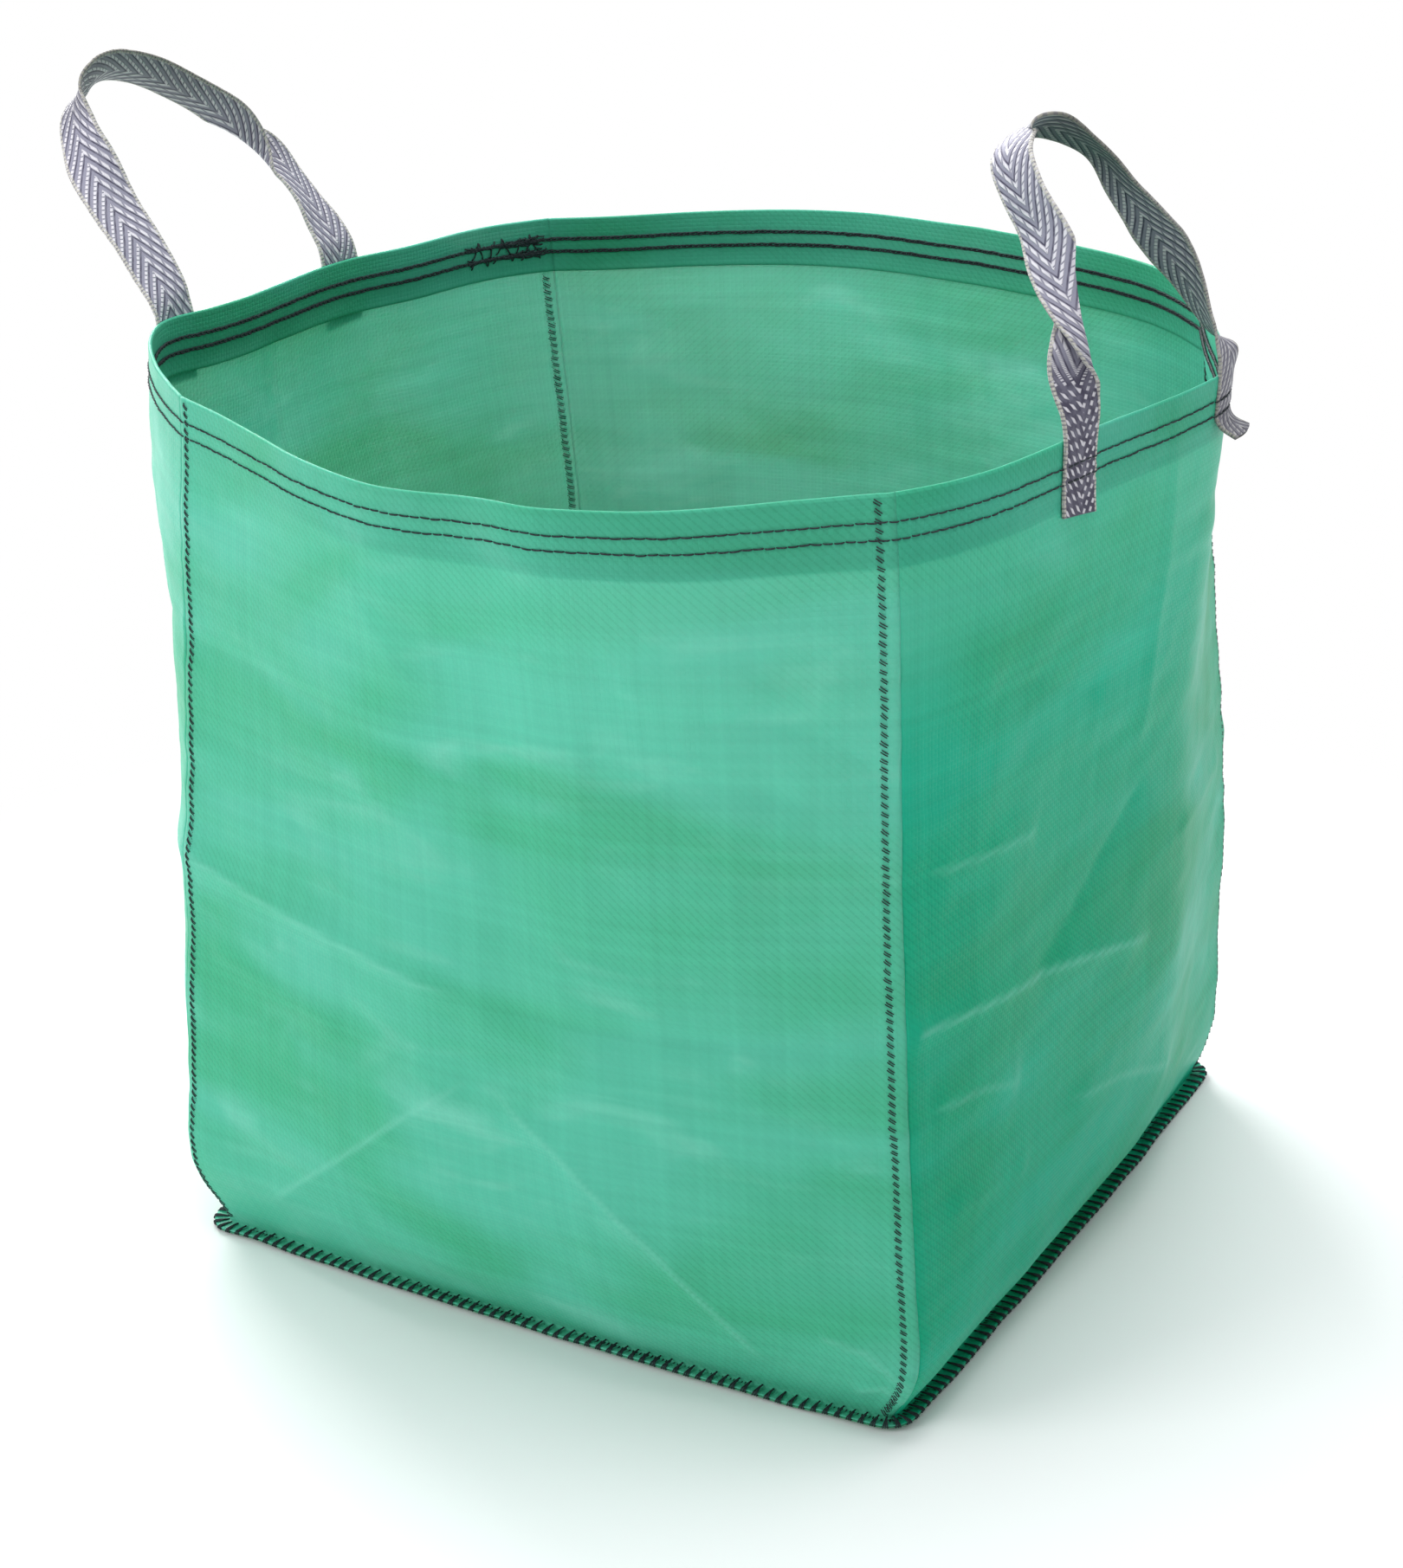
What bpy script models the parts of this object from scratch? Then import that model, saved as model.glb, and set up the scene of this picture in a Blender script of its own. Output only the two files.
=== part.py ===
"""Soft-sided leaf bag with two webbing carrying handles.

Metres, +Z up, origin at the centre of the base's underside, which is the face the bag rests on.
The bag is square at its base and nearly round at its rim. It is sewn from four wall panels and a
base panel. Each wall is turned down at the rim into a hem, held by two rows of thread outside and two
inside. The walls meet at four corner seams and turn out at the foot into a lip, which is bound to
the lip of the base panel by overlocked thread. Each handle is one strap, sewn flat to the outside of a
side wall at both ends, and its loop swings about the line where it leaves the rim.
"""

import math

import bmesh
import bpy
from mathutils import Matrix, Vector

# Bag, all in metres
HEIGHT = 0.507  # floor to rim
FABRIC = 0.0006  # one ply of the coated woven fabric
CLEARANCE = 0.0003  # between pieces that touch
HEM_DEPTH = 0.035
HEM_THICKNESS = 0.0018  # the wall, the turned-down ply and its tuck
HEM_STEP = 0.0006  # height over which the wall thickens into the hem
LIP_WIDTH = 0.010  # foot of the wall, turned out flat
BASE_DISH_START = 0.0015  # the base panel starts to drop this far outside the wall line
BASE_DISH_END = 0.0085  # and lies on the ground from this far inside it
HEADING_STEP = 0.001  # of s, for a wall's direction
END_SHARE_STEP = 1e-9  # of s, for the place of a strap's end
SMOOTH_ANGLE = 35.0  # degrees below which neighbouring faces are shaded as one
SHARE_SLACK = 1e-4  # for telling whether a point of a thread lies on a strap

# Path of each corner from the floor to the rim: (share of the height, X, Y)
FRONT_LEFT_PATH = (
    (0.0, -0.218, -0.213), (0.08, -0.232, -0.224), (0.2, -0.231, -0.225), (0.4, -0.2215, -0.2245),
    (0.6, -0.2155, -0.222), (0.8, -0.2085, -0.222), (0.91, -0.2025, -0.222), (1.0, -0.201, -0.221),
)
FRONT_RIGHT_PATH = (
    (0.0, 0.214, -0.217), (0.08, 0.235, -0.229), (0.2, 0.234, -0.231), (0.4, 0.227, -0.228),
    (0.6, 0.22, -0.222), (0.8, 0.213, -0.212), (0.91, 0.207, -0.203), (1.0, 0.199, -0.192),
)
BACK_RIGHT_PATH = (
    (0.0, 0.213, 0.216), (0.08, 0.224, 0.221), (0.2, 0.225, 0.2215), (0.4, 0.224, 0.219),
    (0.6, 0.218, 0.209), (0.8, 0.209, 0.205), (1.0, 0.201, 0.204),
)
BACK_LEFT_PATH = (
    (0.0, -0.217, 0.217), (0.08, -0.225, 0.224), (0.4, -0.224, 0.22), (0.6, -0.222, 0.212),
    (0.8, -0.222, 0.198), (1.0, -0.222, 0.183),
)

# How far a wall bows out of the straight line between its corners at the rim, where it bows most
FRONT_BOW = 0.087
RIGHT_BOW = 0.067
BACK_BOW = 0.088
LEFT_BOW = 0.090

# (share of the height, share of the wall's bow)
FRONT_RISE_SHARES = ((0.0, 0.06), (0.08, 0.2), (0.2, 0.36), (0.4, 0.47), (0.6, 0.56), (0.8, 0.75), (1.0, 1.0))
RIGHT_RISE_SHARES = (
    (0.0, 0.03), (0.06, 0.13), (0.2, 0.3), (0.4, 0.42), (0.6, 0.5), (0.71, 0.63), (0.83, 0.8), (1.0, 1.0),
)
LEFT_RISE_SHARES = (
    (0.0, 0.04), (0.08, 0.4), (0.2, 0.67), (0.4, 0.8), (0.6, 0.81), (0.75, 0.93), (0.87, 1.03), (1.0, 1.0),
)

# (s along the wall from its left corner, share of the wall's bow)
FRONT_PROFILE_SHARES = (
    (-1.0, 0.0), (-0.84, 0.2), (-0.64, 0.48), (-0.45, 0.74), (-0.2, 0.97), (0.06, 0.95), (0.25, 1.0),
    (0.42, 0.88), (0.6, 0.67), (0.77, 0.4), (1.0, 0.0),
)
RIGHT_PROFILE_SHARES = (
    (-1.0, 0.0), (-0.86, 0.24), (-0.7, 0.43), (-0.49, 0.57), (-0.26, 0.7), (-0.03, 0.85), (0.2, 0.98),
    (0.35, 0.98), (0.52, 0.75), (0.74, 0.39), (1.0, 0.0),
)
BACK_PROFILE_SHARES = (
    (-1.0, 0.0), (-0.88, 0.32), (-0.76, 0.56), (-0.6, 0.74), (-0.34, 0.9), (-0.06, 0.97), (0.18, 1.0),
    (0.42, 0.85), (0.64, 0.57), (0.84, 0.25), (1.0, 0.0),
)
LEFT_PROFILE_SHARES = (
    (-1.0, 0.0), (-0.83, 0.28), (-0.55, 0.53), (-0.35, 0.71), (0.0, 0.83), (0.25, 0.91), (0.42, 1.0),
    (0.59, 0.85), (0.78, 0.52), (0.91, 0.23), (1.0, 0.0),
)
WALL_ROW_SHARES = (0.03, 0.07, 0.12, 0.19, 0.27, 0.36, 0.45, 0.54, 0.63, 0.72, 0.8, 0.87)
WALL_COLUMNS = 16

# Threads
UPPER_ROW_DROP = 0.013  # rim to the upper row of hem stitching
LOWER_ROW_DROP = 0.021
OUTER_THREAD_RADIUS = 0.0005
CHAIN_THREAD_RADIUS = 0.0011  # the looped side of the chain stitch, inside the bag
SEAM_THREAD_RADIUS = 0.0008
SEAM_TOP_DROP = 0.002  # rim to the top of a corner seam's thread
BINDING_THICKNESS = 0.0006
BINDING_REACH = 0.008  # how far the overlocking covers the lips from their edge
OVERLAP_LENGTH = 0.048  # where the inner rows start and end, sewn over several times
OVERLAP_HEIGHT = 0.016
OVERLAP_THICKNESS = 0.0022
OVERLAP_FROM_CORNER = 0.006  # back left corner to the near end of the overlap

# Handles
STRAP_WIDTH = 0.030
STRAP_THICKNESS = 0.0016
STRAP_SPACING = 0.141  # along Y, between the centre lines of a handle's two ends
LEFT_HANDLE_Y = -0.0285  # midway between them
RIGHT_HANDLE_Y = 0.0
TAB_LENGTH = 0.039  # sewn part, down from the rim
HINGE_RISE = 0.008  # rim to the line about which the loop swings
HINGE_SPLIT = 0.0005  # between the tips of the tab and the loop
TIP_LENGTH = 0.0045  # over which a strap thins to its tip at the hinge
TIP_THICKNESS = 0.0001
LOOP_SECTIONS = 30
LOOP_FINE_STEPS = 240  # along the arch, for measuring its length
TAB_ROWS = 4
LEFT_LOOP_HEIGHT = 0.142
RIGHT_LOOP_HEIGHT = 0.146
LEFT_LOOP_LEAN = -37.0  # degrees about the hinge line from upright, positive towards +X
RIGHT_LOOP_LEAN = -25.0

# From the front end over to the rear end: share of half the spacing, then shares of the loop's height
# along its plane and out of it
LEFT_ARCH_SHARES = (
    (-1.0, 0.0, 0.0), (-0.99, 0.1, 0.0), (-0.97, 0.28, -0.01), (-0.96, 0.44, -0.03), (-0.93, 0.61, -0.04),
    (-0.86, 0.77, -0.05), (-0.76, 0.91, -0.03), (-0.58, 0.97, 0.01), (-0.29, 1.0, 0.01), (0.05, 0.95, 0.0),
    (0.34, 0.85, -0.01), (0.59, 0.73, -0.01), (0.76, 0.59, 0.0), (0.89, 0.46, 0.0), (0.97, 0.3, 0.0),
    (1.0, 0.13, 0.0), (1.0, 0.0, 0.0),
)
RIGHT_ARCH_SHARES = (
    (-1.0, 0.0, 0.0), (-0.96, 0.15, 0.01), (-0.9, 0.27, 0.03), (-0.77, 0.45, 0.01), (-0.69, 0.63, -0.01),
    (-0.66, 0.8, -0.05), (-0.56, 0.93, -0.08), (-0.4, 0.99, -0.06), (-0.28, 0.99, -0.01), (-0.04, 0.93, 0.0),
    (0.22, 0.82, 0.01), (0.38, 0.69, 0.0), (0.56, 0.56, -0.01), (0.77, 0.44, -0.04), (0.92, 0.29, -0.05),
    (0.97, 0.12, -0.04), (1.0, 0.0, 0.0),
)
# (share of the loop's length, degrees of twist): 90 lies flat in the loop's plane, 0 or 180 square to it
LEFT_TWIST = (
    (0.0, 90.0), (0.05, 78.0), (0.12, 75.0), (0.2, 66.0), (0.25, 45.0), (0.3, 15.0), (0.34, 2.0),
    (0.38, -14.0), (0.42, -22.0), (0.46, -12.0), (0.5, -3.0), (0.6, 3.0), (0.66, 14.0), (0.71, 30.0),
    (0.755, 62.0), (0.83, 62.0), (0.89, 73.0), (0.95, 88.0), (1.0, 90.0),
)
RIGHT_TWIST = (
    (0.0, 90.0), (0.04, 78.0), (0.08, 116.0), (0.12, 155.0), (0.17, 159.0), (0.22, 171.0), (0.27, 181.0),
    (0.36, 172.0), (0.42, 175.0), (0.48, 173.0), (0.52, 187.0), (0.56, 199.0), (0.62, 208.0), (0.69, 196.0),
    (0.74, 188.0), (0.78, 182.0), (0.82, 186.0), (0.87, 203.0), (0.92, 219.0), (0.96, 227.0), (1.0, 270.0),
)

# (colour, roughness) of each finish
FABRIC_LOOK = ((0.082, 0.462, 0.31, 1.0), 0.5)
SHADED_FABRIC_LOOK = ((0.04, 0.34, 0.2, 1.0), 0.5)
THREAD_LOOK = ((0.035, 0.045, 0.05, 1.0), 0.8)
WEBBING_LOOK = ((0.4, 0.38, 0.45, 1.0), 0.75)

# Corners run anticlockwise seen from above, as do the walls between them
CORNERS = (
    ("front_left", FRONT_LEFT_PATH),
    ("front_right", FRONT_RIGHT_PATH),
    ("back_right", BACK_RIGHT_PATH),
    ("back_left", BACK_LEFT_PATH),
)
WALLS = (
    ("front", FRONT_BOW, FRONT_RISE_SHARES, FRONT_PROFILE_SHARES),
    ("right", RIGHT_BOW, RIGHT_RISE_SHARES, RIGHT_PROFILE_SHARES),
    ("back", BACK_BOW, FRONT_RISE_SHARES, BACK_PROFILE_SHARES),
    ("left", LEFT_BOW, LEFT_RISE_SHARES, LEFT_PROFILE_SHARES),
)
RIGHT_WALL = 1
LEFT_WALL = 3
HANDLES = {
    LEFT_WALL: (
        "left", LEFT_HANDLE_Y, LEFT_LOOP_HEIGHT, LEFT_LOOP_LEAN, LEFT_ARCH_SHARES, LEFT_TWIST,
    ),
    RIGHT_WALL: (
        "right", RIGHT_HANDLE_Y, RIGHT_LOOP_HEIGHT, RIGHT_LOOP_LEAN, RIGHT_ARCH_SHARES, RIGHT_TWIST,
    ),
}

# Heights of the layers of the foot, from the ground up
BASE_LIP_Z = BINDING_THICKNESS + CLEARANCE
WALL_LIP_Z = BASE_LIP_Z + FABRIC + CLEARANCE
BINDING_TOP_Z = WALL_LIP_Z + FABRIC + CLEARANCE + BINDING_THICKNESS


def along(table, share):
    """Value at a share of a table of (share, value) knots, on a smooth curve through them."""
    last = len(table) - 2
    i = next((k for k in range(last) if share <= table[k + 1][0]), last)
    (x0, y0), (x1, y1) = table[i], table[i + 1]
    before, after = table[max(i - 1, 0)], table[min(i + 2, last + 1)]
    slope0 = (y1 - before[1]) / (x1 - before[0])
    slope1 = (after[1] - y0) / (after[0] - x0)
    span = x1 - x0
    t = (share - x0) / span
    return (
        y0 * (2 * t**3 - 3 * t**2 + 1)
        + y1 * (3 * t**2 - 2 * t**3)
        + slope0 * span * (t**3 - 2 * t**2 + t)
        + slope1 * span * (t**3 - t**2)
    )


def corner(index, z):
    """Corner of the bag's outline at a height, in plan."""
    path = CORNERS[index % len(CORNERS)][1]
    return Vector([along([(knot[0], knot[axis]) for knot in path], z / HEIGHT) for axis in (1, 2)])


def outline(wall, s, z):
    """Point on a wall's outer face in plan: s runs from -1 at its left corner to 1, seen from outside."""
    _, bow, rise, profile = WALLS[wall]
    left, right = corner(wall, z), corner(wall + 1, z)
    run = (right - left).normalized()
    depth = bow * along(rise, z / HEIGHT) * along(profile, s)
    return (left + right) / 2 + (right - left) / 2 * s + Vector((run.y, -run.x)) * depth


def heading(wall, s, z):
    """Unit direction along the wall in plan, towards growing s."""
    low, high = max(s - HEADING_STEP, -1), min(s + HEADING_STEP, 1)
    return (outline(wall, high, z) - outline(wall, low, z)).normalized()


def wall_point(wall, s, z, out, top=None):
    """Point at a distance out of a wall's outer face; at a corner it lies on the mitre, half a clearance off it."""
    if abs(s) < 1:
        run = heading(wall, s, z)
        plan = outline(wall, s, z) + Vector((run.y, -run.x)) * out
    else:
        mine = heading(wall, s, z) * -s
        other = heading((wall + int(s)) % len(WALLS), -s, z) * s
        inward = (mine + other).normalized()
        half_angle = mine.angle(inward)
        aside = (mine - inward * mine.dot(inward)).normalized()
        plan = outline(wall, s, z) - inward * (out / math.sin(half_angle)) + aside * (CLEARANCE / 2)
    return Vector((plan.x, plan.y, z if top is None else top))


def end_share(wall, y):
    """The wall's s at a given Y at the rim, found by halving the range that holds it."""
    low, high = -1.0, 1.0
    rising = outline(wall, high, HEIGHT).y > outline(wall, low, HEIGHT).y
    while high - low > END_SHARE_STEP:
        middle = (low + high) / 2
        if (outline(wall, middle, HEIGHT).y < y) == rising:
            low = middle
        else:
            high = middle
    return (low + high) / 2


def width_share(wall, length, z=HEIGHT):
    """Change of s that covers a length of the wall, measured between its corners."""
    return 2 * length / (corner(wall + 1, z) - corner(wall, z)).length


def strap_ends(wall):
    """The s of the two strap ends on a side wall, front one first."""
    middle = HANDLES[wall][1]
    return [end_share(wall, middle + side * STRAP_SPACING / 2) for side in (-1, 1)]


def stations(wall):
    """Values of s at which a wall has its columns: evenly spaced, and at the edges of what is sewn to it."""
    values = [2 * i / WALL_COLUMNS - 1 for i in range(WALL_COLUMNS + 1)]
    near = width_share(wall, STRAP_THICKNESS * 2)
    if wall in HANDLES:
        half = width_share(wall, STRAP_WIDTH / 2 + STRAP_THICKNESS)
        for middle in strap_ends(wall):
            values = [v for v in values if abs(v - middle) > half + near]
            values += [middle - half, middle, middle + half]
    if wall == LEFT_WALL:
        for end in overlap_span():
            values = [v for v in values if abs(v - end) > near] + [end]
    return sorted(values)


def look(name, finish):
    """Principled material of one finish."""
    colour, roughness = finish
    material = bpy.data.materials.new(name)
    material.use_nodes = True
    shader = material.node_tree.nodes["Principled BSDF"]
    shader.inputs["Base Color"].default_value = colour
    shader.inputs["Roughness"].default_value = roughness
    shader.inputs["Metallic"].default_value = 0.0
    material.diffuse_color = colour
    return material


def add_object(name, data, material):
    """Puts new object data in the bag's collection."""
    made = bpy.data.objects.new(name, data)
    data.materials.append(material)
    bpy.data.collections["leaf_bag"].objects.link(made)
    return made


def thick_sheet(name, outer, inner, material, ring=False):
    """Closed solid between two grids of points of the same size; a ring joins its last column to its first
    and closes its last row with a flat face above and below."""
    mesh = bmesh.new()
    faces = []
    skins = [[[mesh.verts.new(p) for p in row] for row in grid] for grid in (outer, inner)]
    rows, columns = len(outer), len(outer[0])
    spans = columns if ring else columns - 1
    for skin, turn in zip(skins, (1, -1)):
        for i in range(rows - 1):
            for j in range(spans):
                k = (j + 1) % columns
                # Both skins are split on the same diagonal, so they stay apart where the sheet is warped
                faces.append([skin[i][j], skin[i][k], skin[i + 1][k]][::turn])
                faces.append([skin[i][j], skin[i + 1][k], skin[i + 1][j]][::turn])
    top, bottom = skins
    for j in range(spans):
        k = (j + 1) % columns
        faces.append([bottom[0][j], bottom[0][k], top[0][k], top[0][j]])
        if not ring:
            faces.append([top[-1][j], top[-1][k], bottom[-1][k], bottom[-1][j]])
    if ring:
        faces += [top[-1], bottom[-1][::-1]]
    else:
        for i in range(rows - 1):
            faces.append([bottom[i + 1][0], bottom[i][0], top[i][0], top[i + 1][0]])
            faces.append([bottom[i][-1], bottom[i + 1][-1], top[i + 1][-1], top[i][-1]])
    for face in faces:
        mesh.faces.new(face)
    bmesh.ops.recalc_face_normals(mesh, faces=mesh.faces)
    data = bpy.data.meshes.new(name)
    mesh.to_mesh(data)
    mesh.free()
    data.shade_smooth()
    data.set_sharp_from_angle(angle=math.radians(SMOOTH_ANGLE))
    return add_object(name, data, material)


def thread(name, points, radius, material, closed=False):
    """Thread along a list of points."""
    curve = bpy.data.curves.new(name, "CURVE")
    curve.dimensions = "3D"
    curve.bevel_depth = radius
    curve.bevel_resolution = 1
    curve.use_fill_caps = not closed
    spline = curve.splines.new("POLY")
    spline.points.add(len(points) - 1)
    for knot, place in zip(spline.points, points):
        knot.co = (*place, 1)
    spline.use_cyclic_u = closed
    return add_object(name, curve, material)


def make_wall(wall, material):
    """Wall panel from the edge of its lip up to the fold of its hem."""
    hem_z = HEIGHT - HEM_DEPTH
    heights = [HEIGHT * share for share in WALL_ROW_SHARES if HEIGHT * share < hem_z - HEM_STEP]
    lip_top = WALL_LIP_Z + FABRIC
    # Each row: height of the outline, then (distance out, height) of the outer and the inner skin
    rows = [
        (lip_top, (LIP_WIDTH, lip_top), (LIP_WIDTH, WALL_LIP_Z)),
        (lip_top, (0, lip_top), (-FABRIC, WALL_LIP_Z)),
    ]
    rows += [(z, (0, z), (-FABRIC, z)) for z in heights]
    rows.append((hem_z, (0, hem_z), (-FABRIC, hem_z)))
    for z in (hem_z + HEM_STEP, HEIGHT - LOWER_ROW_DROP, HEIGHT - UPPER_ROW_DROP, HEIGHT):
        rows.append((z, (0, z), (-HEM_THICKNESS, z)))
    columns = stations(wall)
    outer = [[wall_point(wall, s, z, a[0], a[1]) for s in columns] for z, a, _ in rows]
    inner = [[wall_point(wall, s, z, b[0], b[1]) for s in columns] for z, _, b in rows]
    return thick_sheet(WALLS[wall][0] + "_panel", outer, inner, material)


def make_base(material):
    """Base panel: a lip all round at the height of the binding, dished down to lie flat on the ground."""
    foot = WALL_LIP_Z + FABRIC
    places = ((LIP_WIDTH, BASE_LIP_Z), (BASE_DISH_START, BASE_LIP_Z), (-BASE_DISH_END, 0))
    grids = []
    for lift in (FABRIC, 0):
        grid = []
        for out, z in places:
            row = []
            for wall in range(len(WALLS)):
                row += [wall_point(wall, s, foot, out, z + lift) for s in stations(wall)]
            grid.append(row)
        grids.append(grid)
    return thick_sheet("base_panel", grids[0], grids[1], material, ring=True)


def make_binding(wall, material):
    """Overlocking round the two lips at the foot of one wall: a strip bent into a C."""
    foot = WALL_LIP_Z + FABRIC
    edge = LIP_WIDTH + CLEARANCE
    back = LIP_WIDTH - BINDING_REACH
    rim = edge + BINDING_THICKNESS
    outer_path = ((back, BINDING_TOP_Z), (rim, BINDING_TOP_Z), (rim, 0), (back, 0))
    high, low = BINDING_TOP_Z - BINDING_THICKNESS, BINDING_THICKNESS
    inner_path = ((back, high), (edge, high), (edge, low), (back, low))
    columns = stations(wall)
    outer = [[wall_point(wall, s, foot, out, z) for s in columns] for out, z in outer_path]
    inner = [[wall_point(wall, s, foot, out, z) for s in columns] for out, z in inner_path]
    return thick_sheet(WALLS[wall][0] + "_base_binding", outer, inner, material)


def corner_line(index, z, out):
    """Point at a distance out of a corner, on the bisector of its two walls."""
    wall = index % len(WALLS)
    place = wall_point(wall, -1, z, out)
    other = wall_point((wall - 1) % len(WALLS), 1, z, out)
    return (place + other) / 2


def make_corner_seam(index, material):
    """Thread of the seam that joins two walls, down the outside of the corner."""
    bottom = BINDING_TOP_Z + CLEARANCE + SEAM_THREAD_RADIUS
    hem_z = HEIGHT - HEM_DEPTH
    heights = [bottom] + [HEIGHT * share for share in WALL_ROW_SHARES if HEIGHT * share < hem_z - HEM_STEP]
    heights += [hem_z, HEIGHT - LOWER_ROW_DROP, HEIGHT - UPPER_ROW_DROP, HEIGHT - SEAM_TOP_DROP]
    out = SEAM_THREAD_RADIUS + CLEARANCE
    points = [corner_line(index, z, out) for z in heights]
    return thread(CORNERS[index][0] + "_seam_thread", points, SEAM_THREAD_RADIUS, material)


def outer_row_points(z):
    """Route of an outer row of hem stitching: on the wall, over the straps and over the corner seams."""
    low = OUTER_THREAD_RADIUS + CLEARANCE
    over_seam = low + 2 * SEAM_THREAD_RADIUS + 2 * CLEARANCE
    over_strap = low + STRAP_THICKNESS + 2 * CLEARANCE
    points = []
    for wall in range(len(WALLS)):
        points.append(corner_line(wall, z, over_seam))
        # The row climbs over a strap beside its edge, and lies on it between
        climbs = []
        if wall in HANDLES:
            half = width_share(wall, STRAP_WIDTH / 2 + STRAP_THICKNESS / 2)
            ends = strap_ends(wall)
            climbs = [(s, half) for s in ends]
        marks = [s for s in stations(wall) if abs(s) < 1]
        marks += [s + side * half for s, half in climbs for side in (-1, 0, 1)]
        for s in sorted(marks):
            on_strap = any(abs(s - at) <= half + SHARE_SLACK for at, half in climbs)
            points.append(wall_point(wall, s, z, over_strap if on_strap else low))
    return points


def make_outer_row(name, drop, material):
    """One outer row of hem stitching, a closed loop."""
    return thread(name, outer_row_points(HEIGHT - drop), OUTER_THREAD_RADIUS, material, closed=True)


def overlap_span():
    """Range of s on the left wall that the overlap of the inner rows covers."""
    start = -1 + width_share(LEFT_WALL, OVERLAP_FROM_CORNER)
    return start, start + width_share(LEFT_WALL, OVERLAP_LENGTH)


def make_inner_row(name, drop, material):
    """One inner row of hem stitching, from one end of the overlap round the bag to the other end."""
    z = HEIGHT - drop
    out = -(HEM_THICKNESS + CLEARANCE + CHAIN_THREAD_RADIUS)
    start, end = overlap_span()
    spare = width_share(LEFT_WALL, CLEARANCE * 2)
    points = [wall_point(LEFT_WALL, end + spare, z, out)]
    points += [wall_point(LEFT_WALL, s, z, out) for s in stations(LEFT_WALL) if end + spare * 2 < s < 1]
    for wall in range(LEFT_WALL):
        points.append(corner_line(wall, z, out))
        points += [wall_point(wall, s, z, out) for s in stations(wall) if abs(s) < 1]
    points.append(corner_line(LEFT_WALL, z, out))
    points.append(wall_point(LEFT_WALL, start - spare, z, out))
    return thread(name, points, CHAIN_THREAD_RADIUS, material)


def make_overlap(material):
    """Dense patch of thread where the inner rows begin and end."""
    start, end = overlap_span()
    middle = HEIGHT - (UPPER_ROW_DROP + LOWER_ROW_DROP) / 2
    low, high = middle - OVERLAP_HEIGHT / 2, middle + OVERLAP_HEIGHT / 2
    near = HEM_THICKNESS + CLEARANCE
    far = near + OVERLAP_THICKNESS
    columns = [s for s in stations(LEFT_WALL) if start <= s <= end]
    outer = [[wall_point(LEFT_WALL, s, z, -near) for s in columns] for z in (low, middle, high)]
    inner = [[wall_point(LEFT_WALL, s, z, -far) for s in columns] for z in (low, middle, high)]
    return thick_sheet("hem_stitch_overlap", outer, inner, material)


def hinge_line(wall):
    """The two points of the hinge line over a wall's strap ends, front one first, and its unit direction."""
    out = CLEARANCE + STRAP_THICKNESS / 2
    ends = []
    for s in strap_ends(wall):
        foot = wall_point(wall, s, HEIGHT - TAB_LENGTH / 2, out)
        rim = wall_point(wall, s, HEIGHT, out)
        ends.append(rim + (rim - foot) * (HINGE_RISE / (rim.z - foot.z)))
    return ends, (ends[1] - ends[0]).normalized()


def strap(name, sections, material):
    """Strap through sections of (centre, direction across it, thickness)."""
    centres = [c for c, _, _ in sections]
    upper, lower = [], []
    for i, (centre, across, thickness) in enumerate(sections):
        way = centres[min(i + 1, len(centres) - 1)] - centres[max(i - 1, 0)]
        lift = way.cross(across).normalized() * (thickness / 2)
        side = across * (STRAP_WIDTH / 2)
        upper.append([centre + lift - side, centre + lift + side])
        lower.append([centre - lift - side, centre - lift + side])
    return thick_sheet(name, upper, lower, material)


def make_tab(wall, index, material):
    """Sewn end of a strap, flat on the wall, then free up to its thin tip at the hinge line."""
    ends, axis = hinge_line(wall)
    s = strap_ends(wall)[index]
    run = heading(wall, s, HEIGHT)
    run = Vector((run.x, run.y, 0))
    axis = axis if axis.dot(run) > 0 else -axis
    sides = (-1, 0, 1)
    upper, lower = [], []
    for i in range(TAB_ROWS + 1):
        z = HEIGHT - TAB_LENGTH + TAB_LENGTH * i / TAB_ROWS
        half = width_share(wall, STRAP_WIDTH / 2 * run.dot(axis), z)
        upper.append([wall_point(wall, s + k * half, z, CLEARANCE + STRAP_THICKNESS) for k in sides])
        lower.append([wall_point(wall, s + k * half, z, CLEARANCE) for k in sides])
    rim, top = (upper[-1][1] + lower[-1][1]) / 2, ends[index]
    way = (top - rim).normalized()
    free = ((TIP_LENGTH, (run + axis).normalized(), STRAP_THICKNESS), (HINGE_SPLIT / 2, axis, TIP_THICKNESS))
    for back, across, thickness in free:
        lift = across.cross(way).normalized() * (thickness / 2)
        side = across * (STRAP_WIDTH / 2)
        upper.append([top - way * back + lift + side * k for k in sides])
        lower.append([top - way * back - lift + side * k for k in sides])
    where = ("front", "rear")[index]
    return thick_sheet(f"{HANDLES[wall][0]}_handle_{where}_tab", upper, lower, material)


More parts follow.
